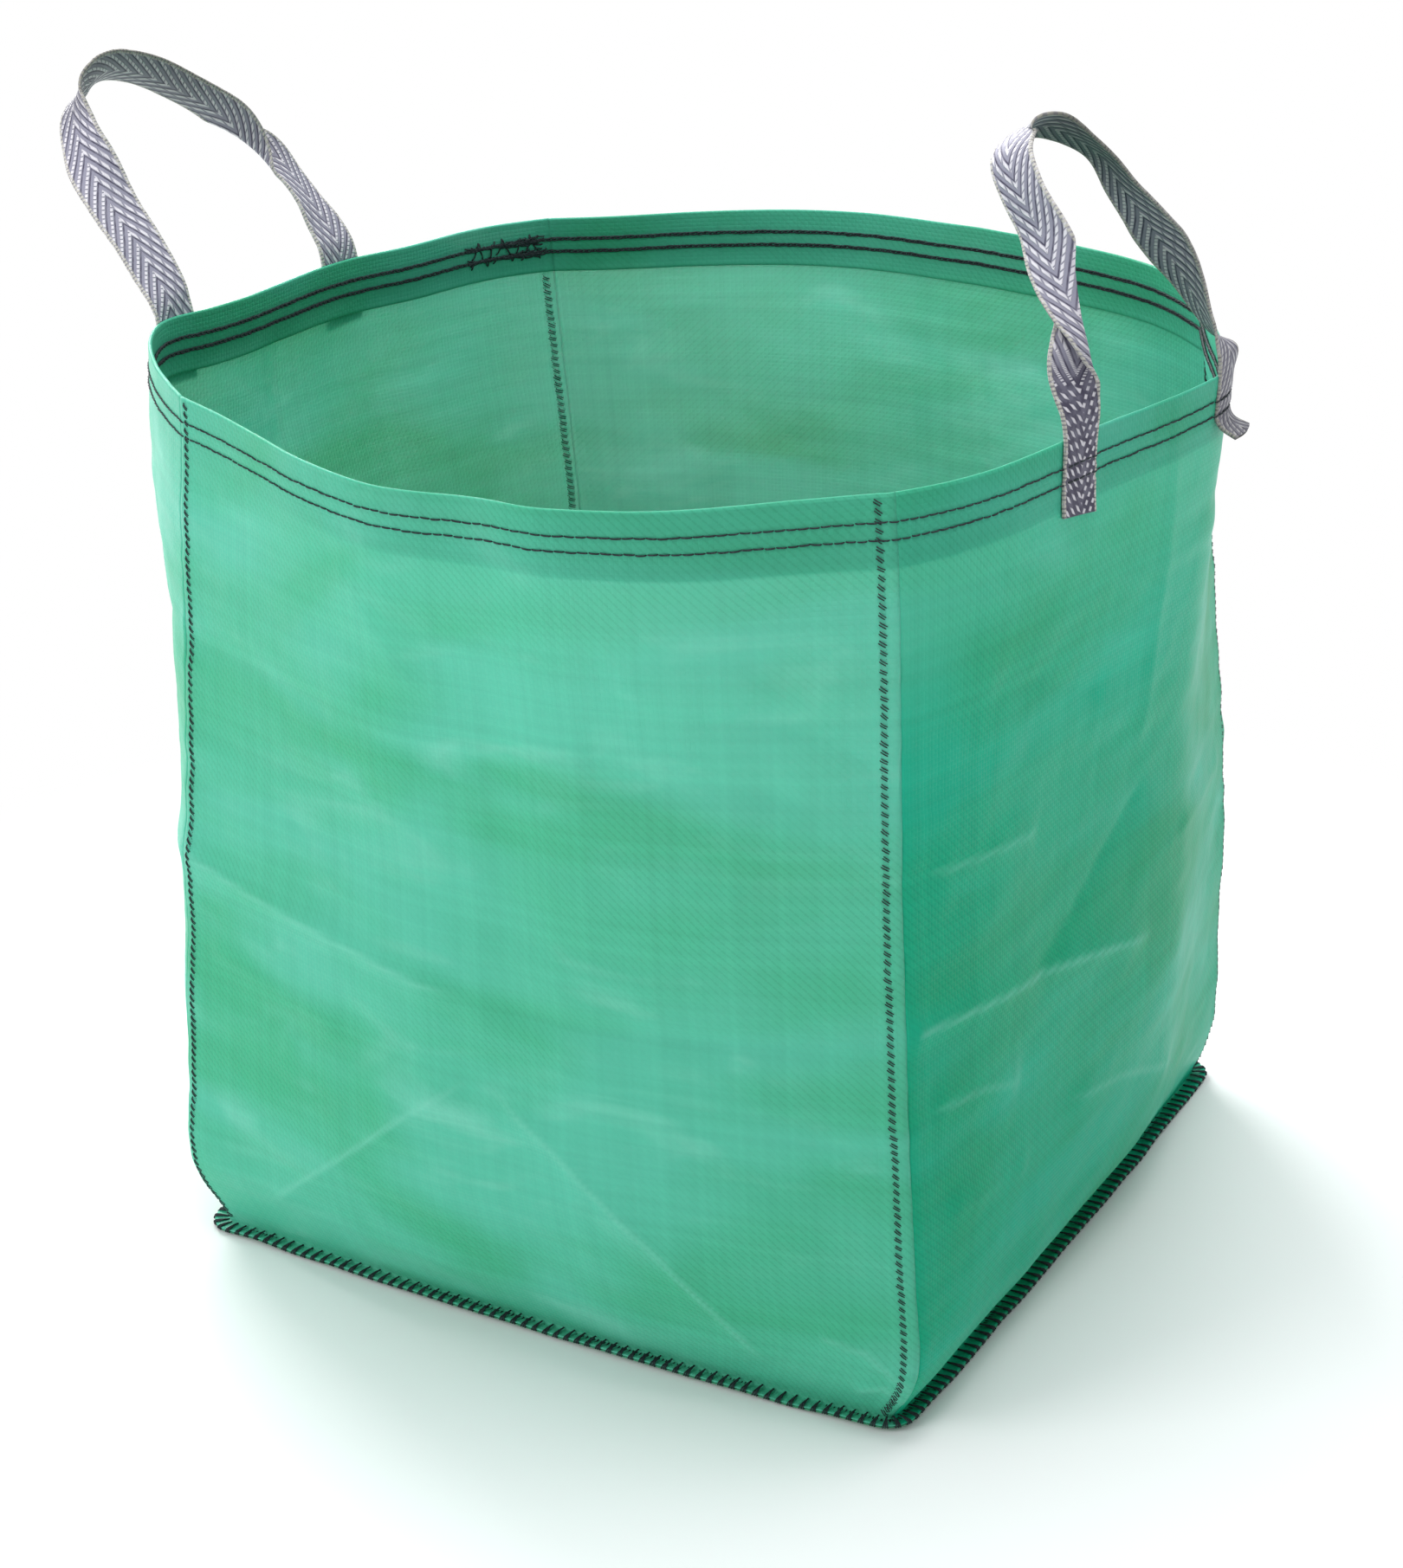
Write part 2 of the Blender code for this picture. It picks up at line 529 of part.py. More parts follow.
def loop_sections(wall):
    """Sections of a handle's loop, from its front tip over to its rear tip."""
    _, _, height, lean, arch, twist = HANDLES[wall]
    ends, axis = hinge_line(wall)
    middle, half = (ends[0] + ends[1]) / 2, (ends[1] - ends[0]).length / 2
    up = Matrix.Rotation(math.radians(lean), 3, axis) @ Vector((0, 0, 1))
    up = (up - axis * up.dot(axis)).normalized()
    square = axis.cross(up)
    tables = [[(i / (len(arch) - 1), value) for i, value in enumerate(values)] for values in zip(*arch)]
    dense = []
    for i in range(LOOP_FINE_STEPS + 1):
        beside, rise, aside = (along(table, i / LOOP_FINE_STEPS) for table in tables)
        dense.append(middle + axis * (half * beside) + (up * rise + square * aside) * height)
    lengths = [0.0]
    for a, b in zip(dense, dense[1:]):
        lengths.append(lengths[-1] + (b - a).length)
    total = lengths[-1]

    def place(length):
        k = next((j for j in range(1, LOOP_FINE_STEPS) if lengths[j] >= length), LOOP_FINE_STEPS)
        return dense[k - 1].lerp(dense[k], (length - lengths[k - 1]) / (lengths[k] - lengths[k - 1]))

    trim = HINGE_SPLIT / 2
    run = total - 2 * TIP_LENGTH
    marks = [trim] + [TIP_LENGTH + run * i / LOOP_SECTIONS for i in range(LOOP_SECTIONS + 1)]
    marks.append(total - trim)
    sections = []
    for mark in marks:
        ahead, behind = min(mark + trim, total), max(mark - trim, 0)
        way = (place(ahead) - place(behind)).normalized()
        turn = math.radians(along(twist, mark / total))
        across = square * math.cos(turn) + way.cross(square) * math.sin(turn)
        sections.append((place(mark), across, STRAP_THICKNESS))
    # The tips lie on the hinge line
    for i in (0, -1):
        centre, across, _ = sections[i]
        sections[i] = (centre, axis if across.dot(axis) > 0 else -axis, TIP_THICKNESS)
    return sections, total


def make_loop(wall, material):
    """Free loop of a handle, with its origin on its hinge line."""
    sections, total = loop_sections(wall)
    ends, axis = hinge_line(wall)
    middle = (ends[0] + ends[1]) / 2
    name = HANDLES[wall][0] + "_handle_loop"
    made = strap(name, sections, material)
    made.data.transform(Matrix.Translation(-middle))
    made.location = middle
    print(f"{name}: {total * 1000:.0f} mm of strap, hinge {[round(v, 5) for v in middle]}, "
          f"axis {[round(v, 5) for v in axis]}")
    return made


def main():
    for old in list(bpy.data.objects):
        bpy.data.objects.remove(old, do_unlink=True)
    collection = bpy.data.collections.new("leaf_bag")
    bpy.context.scene.collection.children.link(collection)
    fabric = look("green_fabric", FABRIC_LOOK)
    base_fabric = look("green_base_fabric", SHADED_FABRIC_LOOK)
    dark_thread = look("dark_thread", THREAD_LOOK)
    webbing = look("grey_webbing", WEBBING_LOOK)
    for wall in range(len(WALLS)):
        make_wall(wall, fabric)
        make_binding(wall, dark_thread)
        make_corner_seam(wall, dark_thread)
    make_base(base_fabric)
    make_outer_row("hem_upper_row_outside", UPPER_ROW_DROP, dark_thread)
    make_outer_row("hem_lower_row_outside", LOWER_ROW_DROP, dark_thread)
    make_inner_row("hem_upper_row_inside", UPPER_ROW_DROP, dark_thread)
    make_inner_row("hem_lower_row_inside", LOWER_ROW_DROP, dark_thread)
    make_overlap(dark_thread)
    for wall in HANDLES:
        for index in range(2):
            make_tab(wall, index, webbing)
        make_loop(wall, webbing)


main()
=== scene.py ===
import math

import bmesh
import bpy
import numpy as np
from mathutils import Matrix, Vector


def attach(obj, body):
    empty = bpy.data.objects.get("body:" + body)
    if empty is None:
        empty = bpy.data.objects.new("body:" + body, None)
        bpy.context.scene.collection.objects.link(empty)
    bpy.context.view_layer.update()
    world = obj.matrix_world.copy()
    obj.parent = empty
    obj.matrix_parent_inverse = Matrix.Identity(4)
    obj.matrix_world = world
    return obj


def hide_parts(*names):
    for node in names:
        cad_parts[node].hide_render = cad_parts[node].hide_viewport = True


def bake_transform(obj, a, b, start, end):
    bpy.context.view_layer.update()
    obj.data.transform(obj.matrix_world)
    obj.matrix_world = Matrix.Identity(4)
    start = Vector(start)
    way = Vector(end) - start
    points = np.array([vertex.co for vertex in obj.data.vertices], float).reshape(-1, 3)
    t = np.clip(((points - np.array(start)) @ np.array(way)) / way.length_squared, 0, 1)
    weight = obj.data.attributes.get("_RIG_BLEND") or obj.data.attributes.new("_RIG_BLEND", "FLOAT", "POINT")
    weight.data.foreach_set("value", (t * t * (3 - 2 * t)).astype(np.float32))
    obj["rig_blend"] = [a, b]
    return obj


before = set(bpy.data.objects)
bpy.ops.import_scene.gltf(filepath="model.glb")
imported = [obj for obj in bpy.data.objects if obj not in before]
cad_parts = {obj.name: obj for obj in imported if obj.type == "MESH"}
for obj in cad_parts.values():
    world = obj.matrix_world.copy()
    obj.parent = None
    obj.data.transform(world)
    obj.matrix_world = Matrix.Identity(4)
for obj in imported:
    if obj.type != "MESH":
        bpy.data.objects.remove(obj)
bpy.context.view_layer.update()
scene = bpy.context.scene
print("frame loaded:", len(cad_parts), "nodes")

# The bag's shape: metres, and shares of its height, width or bow
bag = {
    "height": 0.507,
    "cloth": 0.0005,
    "lipOut": 0.0095,
    "wallLipZ": 0.0022,
    "baseLipZ": 0.0012,
    "hemDepth": 0.034,
    "foldRadius": 0.0008,
    "rowGap": 0.0028,
    "hemRowGap": 0.0012,
    "columns": 180,
    "cornerRound": 0.005,
    "upperRow": 0.013,
    "lowerRow": 0.021,
}
columns, ringCount = bag["columns"], 4 * bag["columns"]
height, fold, half = bag["height"], bag["foldRadius"], bag["cloth"] / 2
rowDrops = (bag["upperRow"], bag["lowerRow"])
halfSide = 0.225  # turns shares along a wall into metres
# pitch, tilt, spread of the tilt, wander and spread of the size of each kind of stitch
stitchLooks = {
    "hem": (0.0056, 0.0, 0.07, 0.00022, 0.07),
    "chain": (0.0036, 0.0, 0.08, 0.00015, 0.08),
    "seam": (0.0045, 1.0, 0.1, 0.0003, 0.08),
    "wrap": (0.0068, 0.0, 0.06, 0.0, 0.05),
    "patch": (0.0042, 0.0, 0.3, 0.0006, 0.25),
}
# share of the height, x, y: front left, front right, back right, back left
cornerPaths = (
    ((0.0, -0.218, -0.213), (0.08, -0.232, -0.224), (0.2, -0.231, -0.225), (0.4, -0.2215, -0.2245),
     (0.6, -0.2155, -0.222), (0.8, -0.2085, -0.222), (0.91, -0.2025, -0.222), (1.0, -0.201, -0.221)),
    ((0.0, 0.214, -0.217), (0.08, 0.235, -0.229), (0.2, 0.234, -0.231), (0.4, 0.227, -0.228),
     (0.6, 0.22, -0.222), (0.8, 0.213, -0.212), (0.91, 0.207, -0.203), (1.0, 0.199, -0.192)),
    ((0.0, 0.213, 0.216), (0.08, 0.224, 0.221), (0.2, 0.225, 0.2215), (0.4, 0.224, 0.219),
     (0.6, 0.218, 0.209), (0.8, 0.209, 0.205), (1.0, 0.201, 0.204)),
    ((0.0, -0.217, 0.217), (0.08, -0.225, 0.224), (0.4, -0.224, 0.22), (0.6, -0.222, 0.212),
     (0.8, -0.222, 0.198), (1.0, -0.222, 0.183)),
)
frontRise = ((0.0, 0.06), (0.08, 0.2), (0.2, 0.36), (0.4, 0.47), (0.6, 0.56), (0.8, 0.75), (1.0, 1.0))
# painted shade on each wall's outside, most on the right wall, which stands in shade; bow in metres, its share up the
# wall, its share along the wall
wallForms = (
    {"name": "front", "tone": 0.0, "bow": 0.087, "rise": frontRise,
     "profile": ((-1.0, 0.0), (-0.84, 0.2), (-0.64, 0.48), (-0.45, 0.74), (-0.2, 0.97), (0.06, 0.95), (0.25, 1.0),
                 (0.42, 0.88), (0.6, 0.67), (0.77, 0.4), (1.0, 0.0))},
    {"name": "right", "tone": 1.0, "bow": 0.067,
     "rise": ((0.0, 0.03), (0.06, 0.13), (0.2, 0.3), (0.4, 0.42), (0.6, 0.5), (0.71, 0.63), (0.83, 0.8), (1.0, 1.0)),
     "profile": ((-1.0, 0.0), (-0.86, 0.24), (-0.7, 0.43), (-0.49, 0.57), (-0.26, 0.7), (-0.03, 0.85), (0.2, 0.98),
                 (0.35, 0.98), (0.52, 0.75), (0.74, 0.39), (1.0, 0.0))},
    {"name": "back", "tone": 0.6, "bow": 0.088, "rise": frontRise,
     "profile": ((-1.0, 0.0), (-0.88, 0.32), (-0.76, 0.56), (-0.6, 0.74), (-0.34, 0.9), (-0.06, 0.97), (0.18, 1.0),
                 (0.42, 0.85), (0.64, 0.57), (0.84, 0.25), (1.0, 0.0))},
    {"name": "left", "tone": 0.3, "bow": 0.090,
     "rise": ((0.0, 0.04), (0.08, 0.4), (0.2, 0.67), (0.4, 0.8), (0.6, 0.81), (0.75, 0.93), (0.87, 1.03), (1.0, 1.0)),
     "profile": ((-1.0, 0.0), (-0.83, 0.28), (-0.55, 0.53), (-0.35, 0.71), (0.0, 0.83), (0.25, 0.91), (0.42, 1.0),
                 (0.59, 0.85), (0.78, 0.52), (0.91, 0.23), (1.0, 0.0))},
)

# Folds pressed into the walls: lift in mm (negative is a valley), reach in mm, then (share along the wall, height)
frontFolds = (
    (0.7, 16, ((0.06, 0.507), (0.05, 0.45), (0.02, 0.35), (-0.01, 0.25), (-0.04, 0.175))),
    (1.5, 11, ((-0.05, 0.174), (-0.24, 0.139), (-0.49, 0.087), (-0.78, 0.03))),
    (1.5, 11, ((-0.02, 0.172), (0.17, 0.142), (0.41, 0.09), (0.66, 0.023))),
    (1.4, 9, ((-0.97, 0.243), (-0.75, 0.236), (-0.4, 0.23), (-0.05, 0.222))),
    (-0.9, 9, ((-0.02, 0.222), (0.3, 0.222), (0.65, 0.226), (0.99, 0.232))),
    (-0.8, 14, ((-0.95, 0.371), (-0.7, 0.371), (-0.39, 0.365))),
    (-1.1, 16, ((0.28, 0.372), (0.5, 0.368), (0.8, 0.36))),
    (1.0, 14, ((0.39, 0.413), (0.51, 0.427), (0.64, 0.425), (0.76, 0.413))),
    (-0.9, 11, ((0.54, 0.402), (0.72, 0.398), (0.85, 0.389), (0.96, 0.371))),
    (0.7, 12, ((-0.36, 0.461), (-0.26, 0.439), (-0.18, 0.413), (-0.1, 0.397))),
    (0.9, 10, ((0.62, 0.204), (0.81, 0.215), (0.99, 0.229))),
    (0.9, 9, ((0.69, 0.141), (0.84, 0.164), (0.99, 0.189))),
    (0.8, 10, ((0.79, 0.242), (0.92, 0.257), (0.99, 0.271))),
    (-0.9, 12, ((-0.4, 0.062), (-0.06, 0.075), (0.27, 0.079))),
    (1.2, 8, ((0.76, 0.058), (0.88, 0.053), (0.98, 0.035))),
    (0.8, 10, ((-0.93, 0.191), (-0.73, 0.185), (-0.43, 0.177))),
    (1.0, 15, ((0.33, 0.236), (0.46, 0.257), (0.67, 0.314), (0.8, 0.357))),
    (1.1, 7, ((0.86, 0.022), (0.93, 0.031), (0.99, 0.02))),
    (-1.0, 6, ((0.9, 0.045), (0.95, 0.028), (0.99, 0.012))),
)
rightFolds = (
    (1.8, 10, ((-0.96, 0.236), (-0.77, 0.232), (-0.44, 0.221), (-0.17, 0.208), (0.17, 0.188))),
    (1.0, 10, ((-0.93, 0.317), (-0.69, 0.311), (-0.44, 0.304))),
    (1.0, 9, ((-0.93, 0.189), (-0.73, 0.183), (-0.52, 0.166))),
    (1.2, 11, ((-0.29, 0.129), (0.02, 0.113), (0.44, 0.075))),
    (-0.8, 12, ((-0.73, 0.398), (-0.5, 0.387), (-0.14, 0.356))),
    (0.9, 8, ((-0.89, 0.128), (-0.7, 0.123), (-0.47, 0.113))),
    (-1.2, 14, ((-0.53, 0.217), (-0.27, 0.237), (-0.04, 0.269), (0.15, 0.289))),
    (0.8, 12, ((0.05, 0.5), (0.08, 0.4), (0.06, 0.3))),
    (0.9, 10, ((0.3, 0.24), (0.6, 0.232), (0.9, 0.23))),
)
backFolds = (
    (0.7, 16, ((0.0, 0.507), (0.02, 0.42), (0.0, 0.3), (0.02, 0.178))),
    (1.4, 11, ((0.0, 0.176), (-0.25, 0.137), (-0.5, 0.088), (-0.76, 0.03))),
    (1.4, 11, ((0.03, 0.176), (0.26, 0.138), (0.5, 0.087), (0.74, 0.031))),
    (1.2, 9, ((-0.96, 0.236), (-0.6, 0.229), (-0.2, 0.227), (0.2, 0.224))),
    (-0.9, 9, ((0.25, 0.226), (0.6, 0.231), (0.97, 0.236))),
    (-0.9, 14, ((-0.9, 0.368), (-0.5, 0.374), (-0.2, 0.37))),
    (1.0, 13, ((-0.6, 0.42), (-0.4, 0.43), (-0.15, 0.415))),
    (0.9, 11, ((0.55, 0.3), (0.75, 0.31), (0.96, 0.3))),
)
leftFolds = (
    (0.8, 14, ((-0.02, 0.5), (0.0, 0.4), (0.02, 0.3), (0.0, 0.18))),
    (1.4, 11, ((0.0, 0.178), (-0.3, 0.13), (-0.72, 0.04))),
    (1.4, 11, ((0.02, 0.178), (0.3, 0.132), (0.7, 0.038))),
    (1.2, 10, ((-0.95, 0.236), (-0.5, 0.228), (0.1, 0.226), (0.6, 0.23), (0.97, 0.242))),
    (-0.9, 12, ((0.3, 0.37), (0.6, 0.362), (0.9, 0.366))),
    (0.9, 11, ((-0.8, 0.33), (-0.55, 0.322), (-0.3, 0.33))),
)
wallFolds = (frontFolds, rightFolds, backFolds, leftFolds)
# Soft dents and swellings: share along the wall, height, half widths along and up in mm, lift in mm
wallDents = (
    ((0.9, 0.03, 34, 22, 2.2), (-0.93, 0.055, 26, 26, 3.0), (0.5, 0.3, 55, 40, 1.8), (-0.55, 0.3, 70, 45, -1.5),
     (0.72, 0.12, 40, 18, 1.6), (0.2, 0.05, 60, 14, -1.6), (-0.2, 0.04, 60, 12, 1.2)),
    ((-0.75, 0.27, 45, 18, 2.0), (0.2, 0.15, 60, 22, 1.8), (0.55, 0.35, 50, 50, 1.6), (-0.4, 0.06, 60, 16, -1.6)),
    ((-0.5, 0.3, 60, 40, 1.8), (0.5, 0.14, 55, 25, 1.6), (0.1, 0.42, 60, 30, -1.4)),
    ((0.5, 0.3, 60, 40, 1.8), (-0.4, 0.15, 55, 25, 1.5), (0.9, 0.05, 30, 22, 2.2)),
)
# Ripples across a wall beside its seams: height, lift in mm, reach up in mm, all on the front's right side
seamRipples = ((0.425, 0.8, 6), (0.404, -0.7, 6), (0.386, 0.7, 6), (0.367, -0.8, 7), (0.338, 0.9, 7), (0.3, 0.6, 8),
               (0.272, 0.7, 6), (0.2, 0.7, 7), (0.16, 0.8, 7), (0.11, 0.7, 7))


def curveThrough(table, x):
    x = np.asarray(x, float)
    k = np.array(table)
    i = np.clip(np.searchsorted(k[:, 0], x, side="left") - 1, 0, len(k) - 2)
    x0, y0, x1, y1 = k[i, 0], k[i, 1], k[i + 1, 0], k[i + 1, 1]
    before, after = k[np.maximum(i - 1, 0)], k[np.minimum(i + 2, len(k) - 1)]
    slope0 = (y1 - before[..., 1]) / (x1 - before[..., 0])
    slope1 = (after[..., 1] - y0) / (after[..., 0] - x0)
    span, u = x1 - x0, (x - x0) / (x1 - x0)
    return (y0 * (2 * u**3 - 3 * u**2 + 1) + y1 * (3 * u**2 - 2 * u**3)
            + slope0 * span * (u**3 - 2 * u**2 + u) + slope1 * span * (u**3 - u**2))


def cornerAt(index, z):
    path = np.array(cornerPaths[index % 4])
    share = np.asarray(z, float) / height
    return np.stack([curveThrough(path[:, [0, axis]], share) for axis in (1, 2)], -1)


def wallLine(wall, s, z):
    form = wallForms[wall]
    left, right = cornerAt(wall, z), cornerAt(wall + 1, z)
    run = (right - left) / np.linalg.norm(right - left, axis=-1, keepdims=True)
    depth = form["bow"] * curveThrough(form["rise"], z / height) * curveThrough(form["profile"], s)
    bow = np.stack([run[..., 1], -run[..., 0]], -1) * depth[..., None]
    return (left + right) / 2 + (right - left) / 2 * s[..., None] + bow


def smoothStep(x, low, high):
    t = np.clip((x - low) / (high - low), 0, 1)
    return t * t * (3 - 2 * t)


def bell(x, reach, power=2):
    return np.exp(-(x / reach) ** power)


def runAlong(line):
    # distance from the start of a line to each of its points
    return np.concatenate([[0], np.cumsum(np.linalg.norm(np.diff(line, axis=0), axis=1))])


def softNoise(seed, around, up, ringShare, rise):
    grid = np.random.default_rng(seed).uniform(-1, 1, (up + 2, around))
    a, b = ringShare * around, np.clip(rise, 0, 1) * up
    i, j = np.floor(a).astype(int), np.floor(b).astype(int)
    u, v = a - i, b - j
    u, v = u * u * (3 - 2 * u), v * v * (3 - 2 * v)
    left, right = i % around, (i + 1) % around
    low = grid[j, left] * (1 - u) + grid[j, right] * u
    high = grid[j + 1, left] * (1 - u) + grid[j + 1, right] * u
    return low * (1 - v) + high * v


def foldDistance(points, s, z):
    # distance to a fold in metres, and how far along it as a share
    place = np.stack([s * halfSide, z], -1)
    knots = np.array(points) * [halfSide, 1.0]
    lengths = np.linalg.norm(np.diff(knots, axis=0), axis=1)
    best, share, start = np.full(s.shape, 9.0), np.zeros(s.shape), 0.0
    for a, b, length in zip(knots, knots[1:], lengths):
        t = np.clip(((place - a) @ (b - a)) / length**2, 0, 1)
        away = np.linalg.norm(place - a - t[..., None] * (b - a), axis=-1)
        closer = away < best
        share = np.where(closer, (start + t * length) / lengths.sum(), share)
        best = np.minimum(best, away)
        start += length
    return best, share


# Rows of the cloth's middle surface: height of the outline, distance out, real height
rows = [(0.003, out, bag["wallLipZ"]) for out in (bag["lipOut"], 0.0075, 0.0055, 0.0035, 0.002)]
rows += [(0.003, 0.001, bag["wallLipZ"] + 0.0002), (0.003, 0.0003, bag["wallLipZ"] + 0.0007), (0.004, 0.0, 0.0042)]
hemStart = height - 0.026
rows += [(z, -half, z) for z in np.arange(0.006, hemStart, bag["rowGap"])]
rows += [(z, -half, z) for z in np.arange(hemStart, height - fold, bag["hemRowGap"])]
foldRow = len(rows)
for angle in np.linspace(0, math.pi, 7):
    rows.append((height, -half - fold + fold * math.cos(angle), height - fold + fold * math.sin(angle)))
turnRow = len(rows)
rows += [(z, -half - 2 * fold, z) for z in np.arange(height - fold - 0.0012, height - bag["hemDepth"], -0.0016)]
rowLine, rowOut, rowTop = (np.array(values, float) for values in zip(*rows))
shares = np.linspace(-1, 1, columns + 1)
shares = 0.8 * shares + 0.2 * np.sin(shares * math.pi / 2)  # closer together at the corners
ringWall = np.repeat(np.arange(4), columns)
ringS = np.tile(shares[:-1], 4)
ringShare = (ringWall + (ringS + 1) / 2) / 4
keepRound = bell((1 - np.abs(ringS)) * halfSide, bag["cornerRound"])

plan = np.zeros((len(rows), ringCount, 2))
for wall in range(4):
    s, z = np.meshgrid(shares[:-1], rowLine)
    plan[:, wall * columns:(wall + 1) * columns] = wallLine(wall, s, z)
for _ in range(8):
    middle = (np.roll(plan, 1, 1) + np.roll(plan, -1, 1)) / 2
    plan += (middle - plan) * keepRound[None, :, None]
run = np.roll(plan, -2, 1) - np.roll(plan, 2, 1)
run /= np.linalg.norm(run, axis=-1, keepdims=True)
outward = np.stack([run[..., 1], -run[..., 0]], -1)

# Creases, dents and soft waves push the wall in and out; the same field gives the crease wear, paler lines on the
# sharper crests that are partly whitened film and partly a painted highlight
foldDepth = 2.4
lift = np.zeros(plan.shape[:2])
wear = np.zeros(plan.shape[:2])
gridShare = np.broadcast_to(ringShare, lift.shape)
gridZ = np.broadcast_to(rowLine[:, None], lift.shape)
rise = gridZ / height
for wall, folds in enumerate(wallFolds):
    part = slice(wall * columns, (wall + 1) * columns)
    s, z = np.meshgrid(shares[:-1], rowLine)
    for amount, reach, points in folds:
        away, along = foldDistance(points, s, z)
        first = 1.0 if abs(points[0][0]) > 0.93 or points[0][1] > 0.49 else smoothStep(along, 0, 0.15)
        last = 1.0 if abs(points[-1][0]) > 0.93 else 1 - smoothStep(along, 0.85, 1)
        strength = first * last
        crest = np.exp(-(np.sqrt(away**2 + 0.0012**2) - 0.0012) / (reach / 1000))
        lift[:, part] += foldDepth * amount / 1000 * crest * strength
        # paler crest lines: whitening of the creased film, with a painted highlight on the crests
        if amount > 0.95 and reach < 12:
            wear[:, part] = np.maximum(wear[:, part], strength * min(amount, 1.5) / 1.5 * bell(away, 0.0017))
    for dentS, dentZ, wide, high, amount in wallDents[wall]:
        away = ((s - dentS) * halfSide * 1000 / wide) ** 2 + ((z - dentZ) * 1000 / high) ** 2
        lift[:, part] += amount / 1000 * np.exp(-away)
    if wall == 0:
        for rippleZ, amount, high in seamRipples:
            bend = rippleZ + 0.012 * (1 - s) * np.sin(rippleZ * 90)
            lift[:, part] += amount / 1000 * bell((z - bend) * 1000, high) * smoothStep(s, 0.45, 0.95)
# lift in metres, seed, waves around, waves up, where
belowHem = 1 - smoothStep(rise, 0.85, 0.95)
for amount, seed, around, up, where in ((0.0011, 3, 30, 9, 1), (0.0005, 5, 64, 34, 1), (0.00016, 8, 220, 60, 1),
                                        (0.0004, 13, 36, 56, belowHem)):
    lift += amount * softNoise(seed, around, up, gridShare, rise) * where
lift *= 1 - 0.65 * smoothStep(rise, 0.9, 0.97)  # the hem is two plies, so it is calmer
# The seam allowance stands a little proud beside each corner, and its stitches pull in
ringPlace = np.where(ringS < 0, ringS + 1, ringS - 1) * halfSide
seamAt = np.array([0.005, -0.008, -0.006, 0.005])  # the stitch line, along from each corner
seamPlace = seamAt[(ringWall + (ringS > 0)) % 4]
lift += 0.0005 * bell(ringPlace - seamPlace / 2, 0.006, 4) - 0.0007 * bell(ringPlace - seamPlace, 0.0016)
lift *= smoothStep(rowTop, 0.002, 0.022)[:, None] * 0.97 + 0.03
# The two stitch rows draw the plies of the hem together
pull = sum(bell(rowTop - (height - drop), 0.0014) for drop in rowDrops)
pinch = np.where(np.arange(len(rows)) < foldRow, -0.00035, 0.00025) * pull
lift += pinch[:, None] * (0.8 + 0.2 * np.cos(runAlong(plan[foldRow]) * 2 * math.pi / stitchLooks["hem"][0]))

shell = np.zeros(plan.shape[:2] + (3,))
shell[..., :2] = plan + outward * (rowOut[:, None] + lift)[..., None]
shell[..., 2] = rowTop[:, None]
# The rim and the lips are not quite level
rimWave = 0.0012 * softNoise(21, 26, 1, gridShare, rise) * smoothStep(gridZ, 0.3, 0.5)
shell[..., 2] += np.minimum(rimWave, 0.0004)
lipWave = 0.0009 * (1 + softNoise(34, 60, 1, gridShare, rise)) * smoothStep(rowOut, 0.001, bag["lipOut"])[:, None]
shell[..., 2] += lipWave * (1 - smoothStep(gridZ, 0.004, 0.02))


def surfaceNormals(grid):
    across = np.roll(grid, -1, 1) - np.roll(grid, 1, 1)
    upward = np.gradient(grid, axis=0)
    normal = np.cross(across, upward)
    return normal / np.linalg.norm(normal, axis=-1, keepdims=True)


shellNormal = surfaceNormals(shell)
rowRun = runAlong(np.column_stack([rowOut, rowTop]))


def faceCount(pieces):
    return sum(len(piece.data.polygons) for piece in pieces)


def addObject(name, data):
    made = bpy.data.objects.new(name, data)
    scene.collection.objects.link(made)
    return made


def meshObject(name, points, faces, uvs=None, values=None):
    # values: numbers for each point, kept as attributes
    data = bpy.data.meshes.new(name)
    data.from_pydata([tuple(p) for p in points], [], faces)
    if uvs is not None:
        layer = data.uv_layers.new(name="cloth")
        corner = np.zeros(len(data.loops), np.int32)
        data.loops.foreach_get("vertex_index", corner)
        layer.data.foreach_set("uv", np.asarray(uvs, np.float32)[corner].ravel())
    for key, numbers in (values or {}).items():
        data.attributes.new(key, "FLOAT", "POINT").data.foreach_set("value", numbers.ravel().astype(np.float32))
    data.shade_smooth()
    return addObject(name, data)


def faceOutwards(data, before=None):
    bm = bmesh.new()
    bm.from_mesh(data)
    if before:
        before(bm)
    bmesh.ops.recalc_face_normals(bm, faces=bm.faces)
    bm.to_mesh(data)
    bm.free()


def sheetObject(name, middle, normal, thickness, uv, values=None, closed=False):
    # closed cloth of two skins from a grid of its middle surface
    count, wide = middle.shape[:2]
    skins = np.stack([middle + normal * thickness / 2, middle - normal * thickness / 2]).reshape(-1, 3)
    index = np.arange(count * wide).reshape(count, wide)
    following = np.roll(index, -1, 1) if closed else index[:, 1:]
    this = index if closed else index[:, :-1]
    outer = np.stack([this[:-1], following[:-1], following[1:], this[1:]], -1).reshape(-1, 4)
    edges = [(following[0], this[0]), (this[-1], following[-1])]
    if not closed:
        edges += [(index[:-1, 0], index[1:, 0]), (index[1:, -1], index[:-1, -1])]
    rims = [np.stack([a, b, b + index.size, a + index.size], -1) for a, b in edges]
    faces = np.concatenate([outer, outer[:, ::-1] + index.size] + rims).tolist()
    return meshObject(name, skins, faces, np.concatenate([uv.reshape(-1, 2)] * 2), values)


def wallColumns(wall):
    return np.arange(wall * columns, (wall + 1) * columns + 1) % ringCount


